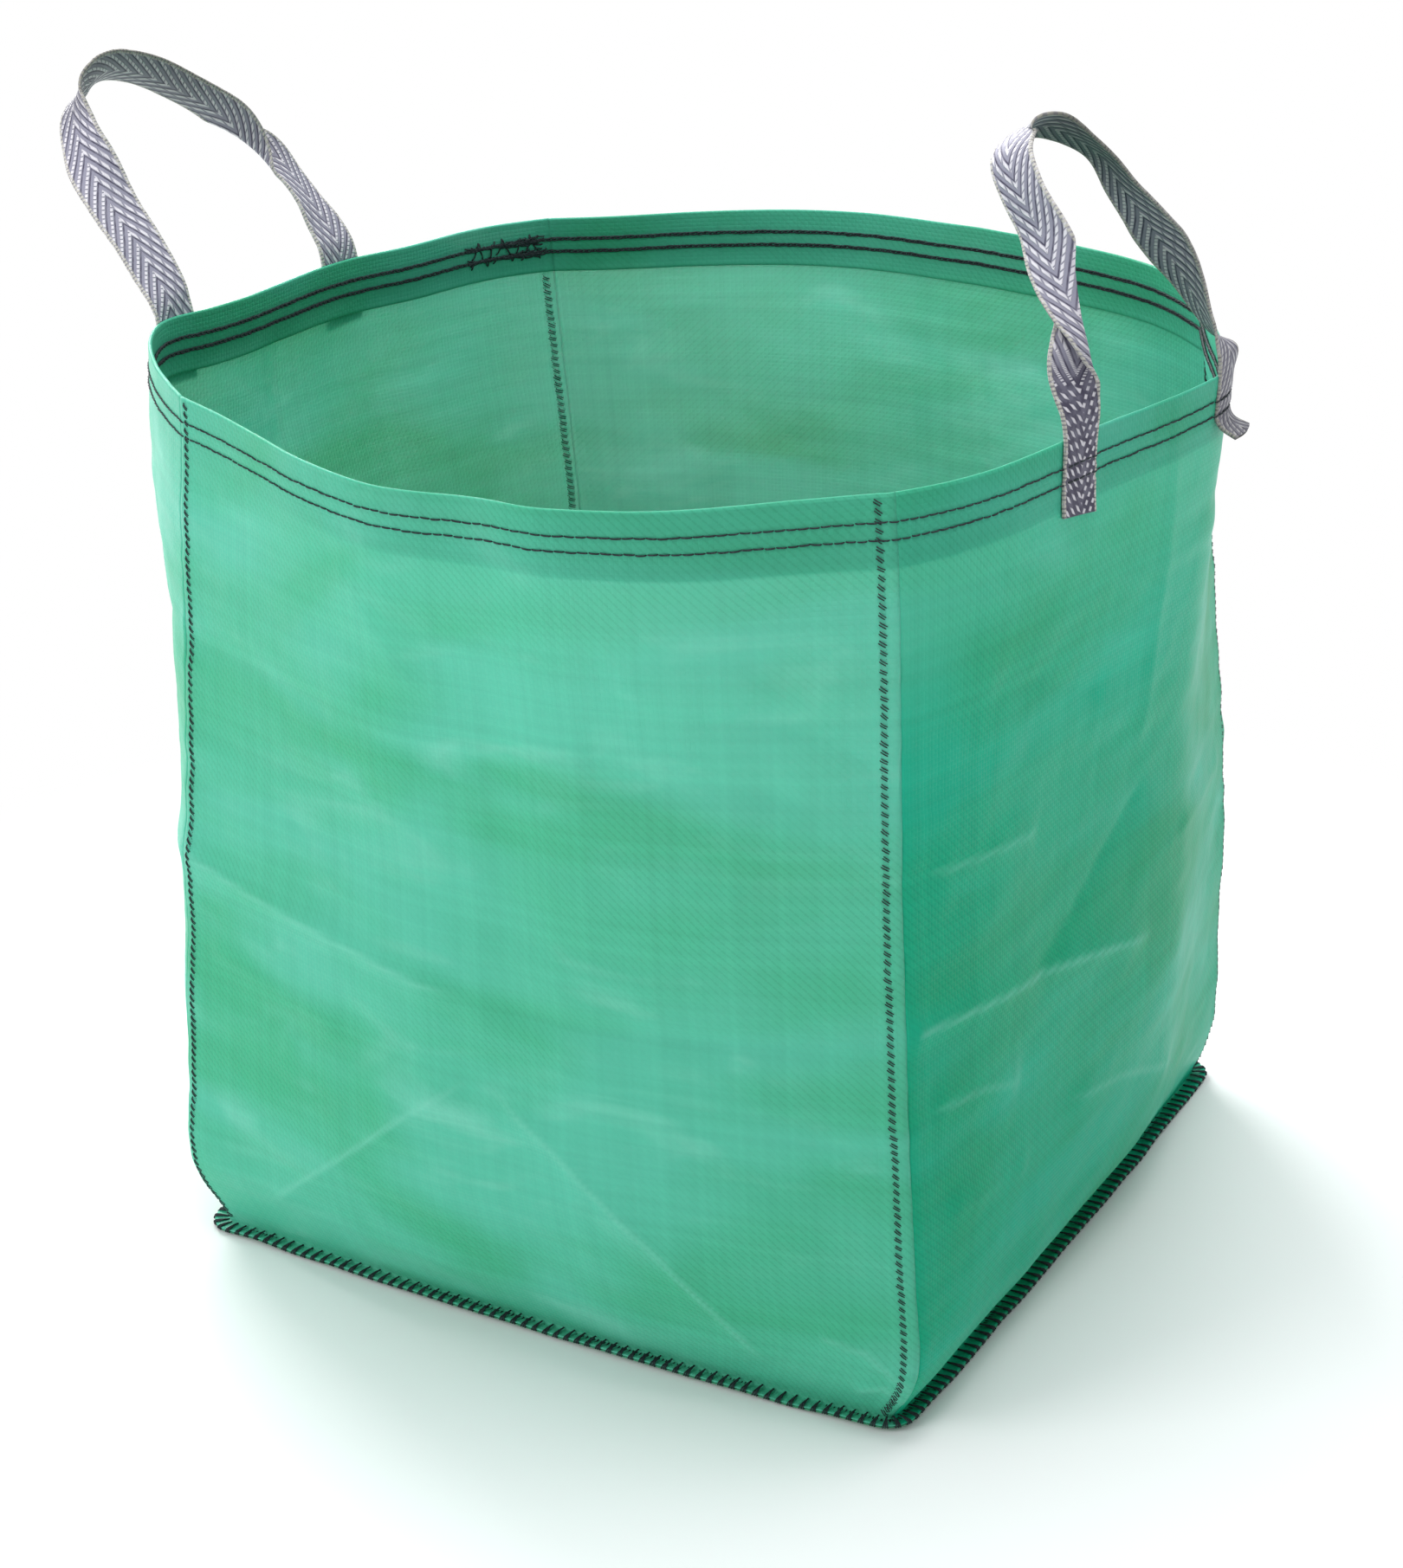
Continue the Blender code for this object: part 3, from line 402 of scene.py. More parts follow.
wallPieces = []
for wall, form in enumerate(wallForms):
    pick = wallColumns(wall)
    uv = np.stack(np.broadcast_arrays((shares * halfSide + wall * 0.46)[None, :], rowRun[:, None]), -1)
    # painted shade: it is on the outside only, and fades towards the rim
    tone = form["tone"] * (np.arange(len(rows)) < turnRow - 4) * (1 - 0.7 * smoothStep(rowTop, 0.36, 0.49))
    tone = np.repeat(tone, columns + 1)
    piece = sheetObject(form["name"] + "Wall", shell[:, pick], shellNormal[:, pick], bag["cloth"], uv,
                        {"wear": np.stack([wear[:, pick]] * 2), "tone": np.stack([tone, tone * 0])})
    wallPieces.append(piece)
print("walls done:", faceCount(wallPieces), "faces")

# Base: its lip follows the walls' lips, then it dishes down to lie on the ground
base = {"lipOut": 0.0097, "rings": 26, "cloth": 0.0005, "ground": 0.0004}
baseRows = [(base["lipOut"], bag["baseLipZ"]), (0.006, bag["baseLipZ"]), (0.002, bag["baseLipZ"]), (-0.001, 0.0011),
            (-0.004, 0.0008), (-0.007, 0.0005), (-0.010, base["ground"])]
footPlan, footOut = plan[0], outward[0]
baseGrid = [np.column_stack([footPlan + footOut * out, np.full(len(footPlan), z)]) for out, z in baseRows]
baseGrid[0][:, 2] += lipWave[0]
baseGrid[1][:, 2] += lipWave[0] * 0.5
edge = baseGrid[-1][:, :2]
for shrink in np.linspace(1, 0.012, base["rings"])[1:]:
    ring = np.column_stack([edge * shrink, np.full(len(edge), base["ground"])])
    baseGrid.append(ring)
baseGrid = np.array(baseGrid)[:, ::2]
baseNormal = np.zeros_like(baseGrid)
baseNormal[..., 2] = 1.0
basePiece = sheetObject("baseSheet", baseGrid[::-1], baseNormal, base["cloth"], baseGrid[::-1][..., :2], closed=True)


def closeMiddle(bm):
    # the hole in the base's middle is closed by one face above and one below
    rimFaces = [f for f in bm.faces if all(v.co.xy.length < 0.004 for v in f.verts) and abs(f.normal.z) < 0.5]
    bmesh.ops.delete(bm, geom=rimFaces, context="FACES")
    bmesh.ops.holes_fill(bm, edges=[e for e in bm.edges if e.is_boundary], sides=0)


faceOutwards(basePiece.data, closeMiddle)
print("base done")


def rowAt(z):
    # row of the outer ply at a height, and the share of the way to the next
    row = float(np.interp(z, rowTop[:foldRow], np.arange(foldRow)))
    return int(row), row - int(row)


def ringLine(z, out):
    # a line round the bag at one height, off the cloth's middle, with its outward directions
    i, t = rowAt(z)
    normal = np.column_stack([outward[i], np.zeros(ringCount)])
    return shell[i] * (1 - t) + shell[i + 1] * t + normal * np.reshape(out, (-1, 1)), normal


def wallPlace(column, z, out=0.0):
    # point and outward direction on the outer ply at a column that needn't be whole
    i, t = rowAt(z)
    j, u = int(math.floor(column)), column - math.floor(column)
    corners = [(i, j % ringCount, (1 - t) * (1 - u)), (i, (j + 1) % ringCount, (1 - t) * u),
               (i + 1, j % ringCount, t * (1 - u)), (i + 1, (j + 1) % ringCount, t * u)]
    normal = unit(sum(np.append(outward[a, b], 0) * w for a, b, w in corners))
    return sum(shell[a, b] * w for a, b, w in corners) + normal * out, normal


def columnAt(wall, share):
    # column, which needn't be whole, at a share along a wall
    return wall * columns + float(np.interp(share, shares, np.arange(columns + 1)))


def placedLine(places, flip=1):
    # a line from places on the wall, with its directions away from the cloth
    points, normals = zip(*places)
    return np.array(points), np.array(normals) * flip, False


def unit(v):
    return v / np.linalg.norm(v, axis=-1, keepdims=True)


def turned(vector, axis, degrees):
    angle = math.radians(degrees)
    along = axis * (axis @ vector) * (1 - math.cos(angle))
    return vector * math.cos(angle) + np.cross(axis, vector) * math.sin(angle) + along


def tubeFaces(index, closed):
    # quads between the rings of points numbered in index, and the two ends if they are open
    following = np.roll(index, -1, 0) if closed else index[1:]
    current = index if closed else index[:-1]
    corners = [current, following, np.roll(following, -1, 1), np.roll(current, -1, 1)]
    ends = [] if closed else [index[0].tolist(), index[-1][::-1].tolist()]
    return np.stack(corners, -1).reshape(-1, 4).tolist() + ends


def threadTube(path, radius, reference, sides=5, closed=False):
    path = np.array(path, float)
    tangent = unit(np.roll(path, -1, 0) - np.roll(path, 1, 0) if closed else np.gradient(path, axis=0))
    across = unit(np.cross(tangent, reference))
    other = np.cross(tangent, across)
    turn = (np.arange(sides) * 2 * math.pi / sides)[None, :, None]
    points = path[:, None] + radius * (across[:, None] * np.cos(turn) + other[:, None] * np.sin(turn))
    return points.reshape(-1, 3), tubeFaces(np.arange(len(path) * sides).reshape(-1, sides), closed)


def joinTubes(name, tubes):
    points, faces, start = [], [], 0
    for verts, polygons in tubes:
        points.append(verts)
        faces += [[v + start for v in polygon] for polygon in polygons]
        start += len(verts)
    made = meshObject(name, np.concatenate(points), faces)
    faceOutwards(made.data)
    return made


def node(tree, kind, inputs=None, **settings):
    made = tree.nodes.new(kind)
    for key, value in settings.items():
        setattr(made, key, value)
    for key, value in (inputs or {}).items():
        value = getattr(value, "socket", value)
        if isinstance(value, bpy.types.NodeSocket):
            tree.links.new(value, made.inputs[key])
        else:
            made.inputs[key].default_value = value
    return made


class Flow:
    # a value between nodes, so that node maths reads like plain maths
    def __init__(self, socket):
        self.socket = socket

    def __add__(self, other):
        return calc("ADD", self, other)

    def __sub__(self, other):
        return calc("SUBTRACT", self, other)

    def __rsub__(self, other):
        return calc("SUBTRACT", other, self)

    def __mul__(self, other):
        return calc("MULTIPLY", self, other)

    def __truediv__(self, other):
        return calc("DIVIDE", self, other)

    def __abs__(self):
        return calc("ABSOLUTE", self)


def treeOf(*values):
    return next(value.socket.id_data for value in values if isinstance(value, Flow))


def calc(operation, *values):
    return Flow(node(treeOf(*values), "ShaderNodeMath", dict(enumerate(values)), operation=operation).outputs[0])


def groupInputs(tree):
    return {socket.name: Flow(socket) for socket in node(tree, "NodeGroupInput").outputs if socket.name}


# One tree sets stitches, links and wraps along any line
def buildStitchTree():
    tree = bpy.data.node_groups.new("stitchesOnLine", "GeometryNodeTree")
    sockets = (("Line", "Geometry", None), ("Pitch", "Float", 0.005), ("Tilt", "Float", 0.0),
               ("Tilt Spread", "Float", 0.05), ("Wander", "Float", 0.0002), ("Size Spread", "Float", 0.06),
               ("Seed", "Int", 1), ("Stitch", "Object", None), ("Finish", "Material", None))
    for name, kind, value in sockets:
        socket = tree.interface.new_socket(name, in_out="INPUT", socket_type="NodeSocket" + kind)
        if value is not None:
            socket.default_value = value
    tree.interface.new_socket("Stitches", in_out="OUTPUT", socket_type="NodeSocketGeometry")
    given = groupInputs(tree)
    line = node(tree, "GeometryNodeMeshToCurve", {"Mesh": given["Line"]}).outputs["Curve"]
    spaced = node(tree, "GeometryNodeResampleCurve", {"Curve": line, "Length": given["Pitch"]}, mode="LENGTH")
    facingOut = node(tree, "GeometryNodeInputNamedAttribute", {"Name": "outward"},
                     data_type="FLOAT_VECTOR").outputs["Attribute"]
    tangent = node(tree, "GeometryNodeInputTangent").outputs["Tangent"]
    beside = node(tree, "ShaderNodeVectorMath", {0: facingOut, 1: tangent}, operation="CROSS_PRODUCT").outputs[0]
    index = node(tree, "GeometryNodeInputIndex").outputs["Index"]

    def spread(amount, extra):
        values = {2: amount * -1.0, 3: amount, "ID": index, "Seed": given["Seed"] + float(extra)}
        return Flow(node(tree, "FunctionNodeRandomValue", values, data_type="FLOAT").outputs[1])

    shift = node(tree, "ShaderNodeVectorMath", {0: beside, "Scale": spread(given["Wander"], 11)},
                 operation="SCALE").outputs[0]
    placed = node(tree, "GeometryNodeSetPosition", {"Geometry": spaced.outputs["Curve"], "Offset": shift}).outputs[0]
    facing = node(tree, "FunctionNodeAxesToRotation", {"Primary Axis": facingOut, "Secondary Axis": tangent},
                  primary_axis="Z", secondary_axis="X").outputs[0]
    tilt = node(tree, "FunctionNodeAxisAngleToRotation",
                {"Axis": (0.0, 0.0, 1.0), "Angle": given["Tilt"] + spread(given["Tilt Spread"], 23)}).outputs[0]
    turning = node(tree, "FunctionNodeRotateRotation", {"Rotation": facing, "Rotate By": tilt},
                   rotation_space="LOCAL").outputs[0]
    shape = node(tree, "GeometryNodeObjectInfo", {"Object": given["Stitch"]},
                 transform_space="ORIGINAL").outputs["Geometry"]
    copies = node(tree, "GeometryNodeInstanceOnPoints", {"Points": placed, "Instance": shape, "Rotation": turning,
                                                         "Scale": spread(given["Size Spread"], 37) + 1.0}).outputs[0]
    real = node(tree, "GeometryNodeRealizeInstances", {"Geometry": copies}).outputs[0]
    finished = node(tree, "GeometryNodeSetMaterial", {"Geometry": real, "Material": given["Finish"]}).outputs[0]
    node(tree, "NodeGroupOutput", {"Stitches": finished})
    return tree


stitchTree = buildStitchTree()


def stitchRun(name, lines, shape, look, seed):
    # lines: list of (points, outward directions, closed)
    points, normals, edges = [], [], []
    for line, normal, closed in lines:
        start = sum(len(p) for p in points)
        points.append(line)
        normals.append(normal)
        edges += [(start + k, start + k + 1) for k in range(len(line) - 1)]
        if closed:
            edges.append((start + len(line) - 1, start))
    data = bpy.data.meshes.new(name)
    data.from_pydata(np.concatenate(points).tolist(), edges, [])
    facing = np.concatenate(normals).astype(np.float32).ravel()
    data.attributes.new("outward", "FLOAT_VECTOR", "POINT").data.foreach_set("vector", facing)
    made = addObject(name, data)
    modifier = made.modifiers.new("stitches", "NODES")
    modifier.node_group = stitchTree
    given = dict(zip(("Pitch", "Tilt", "Tilt Spread", "Wander", "Size Spread"), stitchLooks[look]))
    given.update({"Stitch": shape, "Finish": darkThread, "Seed": seed})
    for item in stitchTree.interface.items_tree:
        if item.in_out == "INPUT" and item.name in given:
            modifier[item.identifier] = given[item.name]
    bpy.context.view_layer.update()
    graph = bpy.context.evaluated_depsgraph_get()
    result = bpy.data.meshes.new_from_object(made.evaluated_get(graph))
    made.modifiers.clear()
    made.data = result
    for layer in [a.name for a in result.attributes if a.name == "outward"]:
        result.attributes.remove(result.attributes[layer])
    return made


threads = {
    "hemLength": 0.0052, "hemRadius": 0.00046, "seamLength": 0.005, "seamRadius": 0.0003,
    "chainLength": 0.0056, "chainWidth": 0.0012, "chainRadius": 0.00048, "wrapRadius": 0.00042,
}


def archPath(length, rise, sink, count=7):
    x = np.linspace(-0.5, 0.5, count)
    return np.column_stack([x * length, np.zeros(count), rise - (rise + sink) * (2 * x) ** 4])


straight = archPath(threads["hemLength"], 0.0003, 0.0006)
hemStitch = joinTubes("hemStitch", [threadTube(straight, threads["hemRadius"], (0, 1, 0))])
slanted = archPath(threads["seamLength"], 0.0004, 0.0006)
seamStitch = joinTubes("seamStitch", [threadTube(slanted + [0, side, 0], threads["seamRadius"], (0, 1, 0))
                                      for side in (-0.0006, 0.0006)])
turn = np.linspace(0, 2 * math.pi, 12, endpoint=False)
loopPath = np.column_stack([np.cos(turn) * threads["chainLength"] / 2,
                            np.sin(turn) * threads["chainWidth"] * (0.75 + 0.25 * np.cos(turn)) * 0.75,
                            0.0002 + 0.00045 * np.cos(turn)])
chainLink = joinTubes("chainLink", [threadTube(loopPath, threads["chainRadius"], (0, 0, 1), closed=True)])
# an overlock wrap: over the lips from above, round their edge and back underneath
wrapSide = [(-0.0085, 0.00085, 0.9), (-0.006, 0.0012, 0.7), (-0.003, 0.0013, 0.4), (-0.0004, 0.0012, 0.15),
            (0.0006, 0.0004, 0.0), (0.0006, -0.0003, -0.1), (-0.0004, -0.0007, -0.25), (-0.004, -0.0008, -0.6),
            (-0.008, -0.0007, -0.9)]
wraps = []
for offset, spreadX in ((-0.0011, 0.0016), (0.0001, 0.0004), (0.0012, -0.0012)):
    path = [(offset + spreadX * lean, up, out) for out, up, lean in wrapSide]
    wraps.append(threadTube(path, threads["wrapRadius"], (1, 0, 0)))
edgeWrap = joinTubes("edgeWrap", wraps)
templates = [hemStitch, seamStitch, chainLink, edgeWrap]


# Finishes: each group takes a place on the cloth and one in the object, and gives colour, roughness and height
def shaderGroup(name, inputs):
    tree = bpy.data.node_groups.new(name, "ShaderNodeTree")
    for label, value in {"Cloth": None, "Place": None, **inputs}.items():
        kind = "Vector" if value is None else "Color" if isinstance(value, tuple) else "Float"
        socket = tree.interface.new_socket(label, in_out="INPUT", socket_type="NodeSocket" + kind)
        if value is not None:
            socket.default_value = value
    for label, kind in (("Colour", "Color"), ("Roughness", "Float"), ("Height", "Float")):
        tree.interface.new_socket(label, in_out="OUTPUT", socket_type="NodeSocket" + kind)
    return tree, groupInputs(tree)


def mixColour(share, first, second, mode="MIX"):
    return Flow(node(treeOf(share, first, second), "ShaderNodeMix", {0: share, 6: first, 7: second},
                     data_type="RGBA", blend_type=mode).outputs[2])


def mixValue(share, first, second):
    return Flow(node(treeOf(share), "ShaderNodeMix", {0: share, 2: first, 3: second}, data_type="FLOAT").outputs[0])


def cloud(vector, scale, detail=2.0, roughness=0.5, distortion=0.0):
    values = {"Vector": vector, "Scale": scale, "Detail": detail, "Roughness": roughness, "Distortion": distortion}
    return Flow(node(treeOf(vector), "ShaderNodeTexNoise", values).outputs["Fac"])


def ramp(value, low, high, first=0.0, last=1.0):
    values = {"Value": value, "From Min": low, "From Max": high, "To Min": first, "To Max": last}
    return Flow(node(treeOf(value), "ShaderNodeMapRange", values, interpolation_type="SMOOTHSTEP").outputs[0])


def stretch(vector, scale, shift=(0.0, 0.0, 0.0)):
    return Flow(node(treeOf(vector), "ShaderNodeVectorMath", {0: vector, 1: scale, 2: shift},
                     operation="MULTIPLY_ADD").outputs[0])


def clothPlace(tree, given):
    apart = node(tree, "ShaderNodeSeparateXYZ", {0: given["Cloth"]}).outputs
    return Flow(apart[0]), Flow(apart[1])


def paint(*levels):
    # colour from 0 to 255 as seen on screen
    screen = [level / 255 for level in levels]
    return tuple(c / 12.92 if c <= 0.04045 else ((c + 0.055) / 1.055) ** 2.4 for c in screen) + (1.0,)


def buildLaminate():
    tree, given = shaderGroup("wovenLaminate", {
        "Wear": 0.0, "Tone": 0.0, "Tape": 0.0024, "Deep": paint(64, 168, 128), "Mid": paint(78, 178, 147),
        "Cool": paint(88, 184, 160), "Pale": paint(120, 198, 176), "Shadow": (0.1, 0.78, 0.68, 1.0),
        "Cloudiness": 1.0, "Marks": 0.1})
    u, v = (along / given["Tape"] for along in clothPlace(tree, given))
    fu, fv = calc("FRACT", u), calc("FRACT", v)
    parity = calc("FLOORED_MODULO", calc("FLOOR", u) + calc("FLOOR", v), 2.0)

    def tapeEdge(f):
        return 1.0 - calc("POWER", abs(f * 2.0 - 1.0), 4.0)

    def tapeArch(f):
        return calc("SINE", f * math.pi) * 0.5 + 0.5

    woven = mixValue(parity, tapeEdge(fu) * tapeArch(fv), tapeEdge(fv) * tapeArch(fu))
    mark = ramp(abs(fu + fv - 1.0), 0.5, 0.05) * parity
    # painted sheen of the film: broad clouds drawn out sideways, with paler painted sheen in them
    broad = cloud(stretch(given["Place"], (3.2, 3.2, 7.5)), 1.0, 3.0, 0.55, 0.6)
    cool = cloud(stretch(given["Place"], (5.0, 5.0, 12.0), (3.1, 7.7, 1.3)), 1.0, 2.5, 0.5, 0.4)
    paleSheen = cloud(stretch(given["Place"], (9.0, 9.0, 24.0), (9.0, 2.0, 5.0)), 1.0, 3.0, 0.55, 0.6)
    colour = mixColour(ramp(broad, 0.36, 0.62), given["Deep"], given["Mid"])
    coolShare = ramp(cool, 0.42, 0.68) * given["Cloudiness"]
    colour = mixColour(coolShare * 0.75, colour, given["Cool"])
    # paler patches of painted sheen, mostly inside the bluish ones
    paleSheenShare = ramp(paleSheen, 0.52, 0.78) * (coolShare * 0.45 + 0.2)
    colour = mixColour(paleSheenShare * given["Cloudiness"], colour, given["Pale"])
    # the tapes vary a little, which shows as faint upright and level bands
    upright = cloud(stretch(given["Cloth"], (190.0, 2.0, 1.0)), 1.0, 1.0)
    level = cloud(stretch(given["Cloth"], (2.0, 210.0, 1.0), (5.0, 3.0, 0.0)), 1.0, 1.0)
    bands = (upright + level) * 0.16 + 0.84
    shade = bands * (1.0 - mark * given["Marks"] * (1.15 - coolShare))
    grey = Flow(node(tree, "ShaderNodeCombineColor", {0: shade, 1: shade, 2: shade}).outputs[0])
    colour = mixColour(1.0, colour, grey, "MULTIPLY")
    # painted shade: walls in shade are made darker and more saturated
    colour = mixColour(given["Tone"], colour, given["Shadow"], "MULTIPLY")
    # paler crest lines on the walls: whitened film, partly a painted highlight
    colour = mixColour(given["Wear"] * 0.4, colour, given["Pale"])
    grain = cloud(given["Place"], 900.0)
    rough = grain * 0.12 + (coolShare * -0.06 + 0.4)
    node(tree, "NodeGroupOutput", {"Colour": colour, "Roughness": rough, "Height": grain * 0.15 + woven})
    return tree


def finish(name, group, inputs, bump, distance, values):
    made = bpy.data.materials.new(name)
    made.use_nodes = True
    tree = made.node_tree
    shader = tree.nodes["Principled BSDF"]
    place = node(tree, "ShaderNodeTexCoord").outputs["Object"]
    cloth = node(tree, "ShaderNodeUVMap", uv_map="cloth").outputs["UV"]
    given = {"Cloth": cloth, "Place": place, **inputs}
    for key in [key for key, value in given.items() if value is None]:
        given[key] = node(tree, "ShaderNodeAttribute", attribute_name=key.lower()).outputs["Fac"]
    look = node(tree, "ShaderNodeGroup", given, node_tree=group)
    tree.links.new(look.outputs["Colour"], shader.inputs["Base Color"])
    tree.links.new(look.outputs["Roughness"], shader.inputs["Roughness"])
    relief = node(tree, "ShaderNodeBump", {"Strength": bump, "Distance": distance, "Height": look.outputs["Height"]})
    tree.links.new(relief.outputs["Normal"], shader.inputs["Normal"])
    for key, value in values.items():
        shader.inputs[key].default_value = value
    return made


laminate = buildLaminate()
# the thin cloth lets some light through; one attribute read here is painted shade
greenFabric = finish("greenFabric", laminate, {"Wear": None, "Tone": None}, 0.35, 0.0004,
                     {"Specular IOR Level": 0.1, "Subsurface Weight": 0.38, "Subsurface Radius": (1.0, 1.0, 1.0),
                      "Subsurface Scale": 0.0025})
baseLook = {"Wear": 0.0, "Deep": paint(24, 124, 82), "Mid": paint(36, 142, 98), "Cool": paint(52, 152, 128),
            "Cloudiness": 0.5}
greenBaseFabric = finish("greenBaseFabric", laminate, baseLook, 0.35, 0.0004, {"Specular IOR Level": 0.4})


def buildThread():
    tree, given = shaderGroup("twistedThread", {"Dark": paint(30, 38, 42), "Light": paint(70, 82, 84), "Grain": 700.0})
    fuzz = cloud(given["Place"], given["Grain"], 2.0, 0.6)
    share = ramp(fuzz, 0.45, 0.75) * (cloud(given["Place"], 40.0) * 0.8 + 0.3)
    colour = mixColour(share, given["Dark"], given["Light"])
    node(tree, "NodeGroupOutput", {"Colour": colour, "Roughness": fuzz * 0.2 + 0.6, "Height": fuzz})
    return tree


darkThread = finish("darkThread", buildThread(), {}, 0.5, 0.0003, {"Specular IOR Level": 0.3})


def buildWebbing():
    tree, given = shaderGroup("herringboneWebbing", {
        "Wear": 0.0, "Width": 0.03, "Ridge": 0.0135, "Pitch": 0.0092, "Slope": 1.7, "Float": 0.0039, "Selvedge": 0.0022,
        "Light": paint(232, 228, 236), "Mid": paint(150, 148, 166), "Dark": paint(64, 60, 82),
        "Edge": paint(206, 202, 194), "Tone": 0.0, "Shadow": (0.3, 0.31, 0.28, 1.0)})
    across, v = clothPlace(tree, given)
    # the other face's places across start at 0.1
    under = calc("GREATER_THAN", across, 0.05)
    u = under * -0.1 + across
    aside = u - given["Ridge"]
    # the wide side of the ridge on one face is the narrow side on the other
    coarse = abs(calc("GREATER_THAN", aside, 0.0) - under)
    wobble = cloud(given["Place"], 300.0, 1.0) * 0.5 - 0.25
    phase = wobble * 0.12 + (abs(aside) * given["Slope"] + v) / given["Pitch"]
    share, step = calc("FRACT", phase), calc("FLOOR", phase)
    # long floats in the stripes on the wide side of the ridge, short beads on the narrow side and on the sewn ends
    short = calc("MAXIMUM", 1.0 - coarse, given["Wear"])
    beadLength = given["Wear"] * 0.0019 + 0.0029
    run = mixValue(short, step * 0.37 + u / given["Float"], step * 0.5 + (u * 0.35 + v) / beadLength)
    bead = abs(calc("SINE", run * math.pi))
    body = ramp(share, 0.0, 0.1) * ramp(share, 0.5, 0.36)
    yarn = body * ramp(bead, given["Wear"] * 0.4 + 0.1, given["Wear"] * 0.3 + 0.55)
    deep = ramp(share, 0.74, 0.88) * ramp(share, 1.0, 0.97)
    deep = calc("MAXIMUM", deep, (1.0 - yarn) * given["Wear"])
    tint = cloud(given["Place"], 160.0, 2.0, 0.6)
    colour = mixColour(ramp(tint, 0.3, 0.62, 0.55, 1.0) * deep, given["Mid"], given["Dark"])
    colour = mixColour(yarn * ramp(tint, 0.25, 0.55, 0.7, 1.0), colour, given["Light"])
    halfWide = given["Width"] * 0.5
    rim = ramp(abs(u - halfWide) - halfWide, -0.0024, -0.0016)
    rim = rim * ramp(calc("SINE", v * (2 * math.pi) / given["Selvedge"]), -0.9, 0.3, 0.35, 1.0)
    colour = mixColour(rim, colour, given["Edge"])
    # painted shade: where the strap lies in shade its colour is darkened
    colour = mixColour(given["Tone"], colour, given["Shadow"], "MULTIPLY")
    node(tree, "NodeGroupOutput", {"Colour": colour, "Roughness": yarn * -0.12 + 0.62,
                                   "Height": calc("MAXIMUM", yarn, rim)})
    return tree


# the strap's attributes bring its dotted ends and painted shade
greyWebbing = finish("greyWebbing", buildWebbing(), {"Wear": None, "Tone": None}, 0.8, 0.0006,
                     {"Specular IOR Level": 0.4})

for piece in wallPieces:
    piece.data.materials.append(greenFabric)
basePiece.data.materials.append(greenBaseFabric)
print("finishes done")

# Straps: sewn end, loop, sewn end, as one ribbon
strap = {"width": 0.030, "thickness": 0.0016, "spacing": 0.141, "tab": 0.039, "hingeRise": 0.008, "rowGap": 0.0008,
         "offWall": 0.0003, "selvedge": 0.00012, "bendDrop": 0.0225}
leftArch = (
    (-1.0, 0.0, 0.0), (-0.99, 0.1, 0.0), (-0.97, 0.28, -0.01), (-0.96, 0.44, -0.03), (-0.93, 0.61, -0.04),
    (-0.86, 0.77, -0.05), (-0.76, 0.91, -0.03), (-0.58, 0.97, 0.01), (-0.29, 1.0, 0.01), (0.05, 0.95, 0.0),
    (0.34, 0.85, -0.01), (0.59, 0.73, -0.01), (0.76, 0.59, 0.0), (0.89, 0.46, 0.0), (0.97, 0.3, 0.0),
    (1.0, 0.13, 0.0), (1.0, 0.0, 0.0),
)
rightArch = (
    (-1.0, 0.0, 0.0), (-0.96, 0.15, 0.01), (-0.9, 0.27, 0.03), (-0.77, 0.45, 0.01), (-0.69, 0.63, -0.01),
    (-0.66, 0.8, -0.05), (-0.56, 0.93, -0.08), (-0.4, 0.99, -0.06), (-0.28, 0.99, -0.01), (-0.04, 0.93, 0.0),
    (0.22, 0.82, 0.01), (0.38, 0.69, 0.0), (0.56, 0.56, -0.01), (0.77, 0.44, -0.04), (0.92, 0.29, -0.05),
    (0.97, 0.12, -0.04), (1.0, 0.0, 0.0),
)
# turns are those of the part that lies under the fold
leftTwist = ((0, 220), (0.05, 208), (0.12, 205), (0.2, 196), (0.25, 175), (0.3, 145), (0.34, 132), (0.38, 116),
             (0.42, 108), (0.46, 118), (0.5, 127), (0.6, 132), (0.66, 133), (0.71, 127), (0.76, 110), (0.84, 76),
             (0.9, 74), (0.95, 86), (1, 90))
rightTwist = ((0, 90), (0.03, 80), (0.08, 66), (0.14, 48), (0.2, 28), (0.26, 8), (0.3, -4), (0.36, -8), (0.42, -5),
              (0.48, -7), (0.52, 7), (0.56, 19), (0.62, 28), (0.69, 16), (0.74, 8), (0.78, 2), (0.82, 6), (0.87, 23),
              (0.92, 39), (0.96, 52), (1, 90))
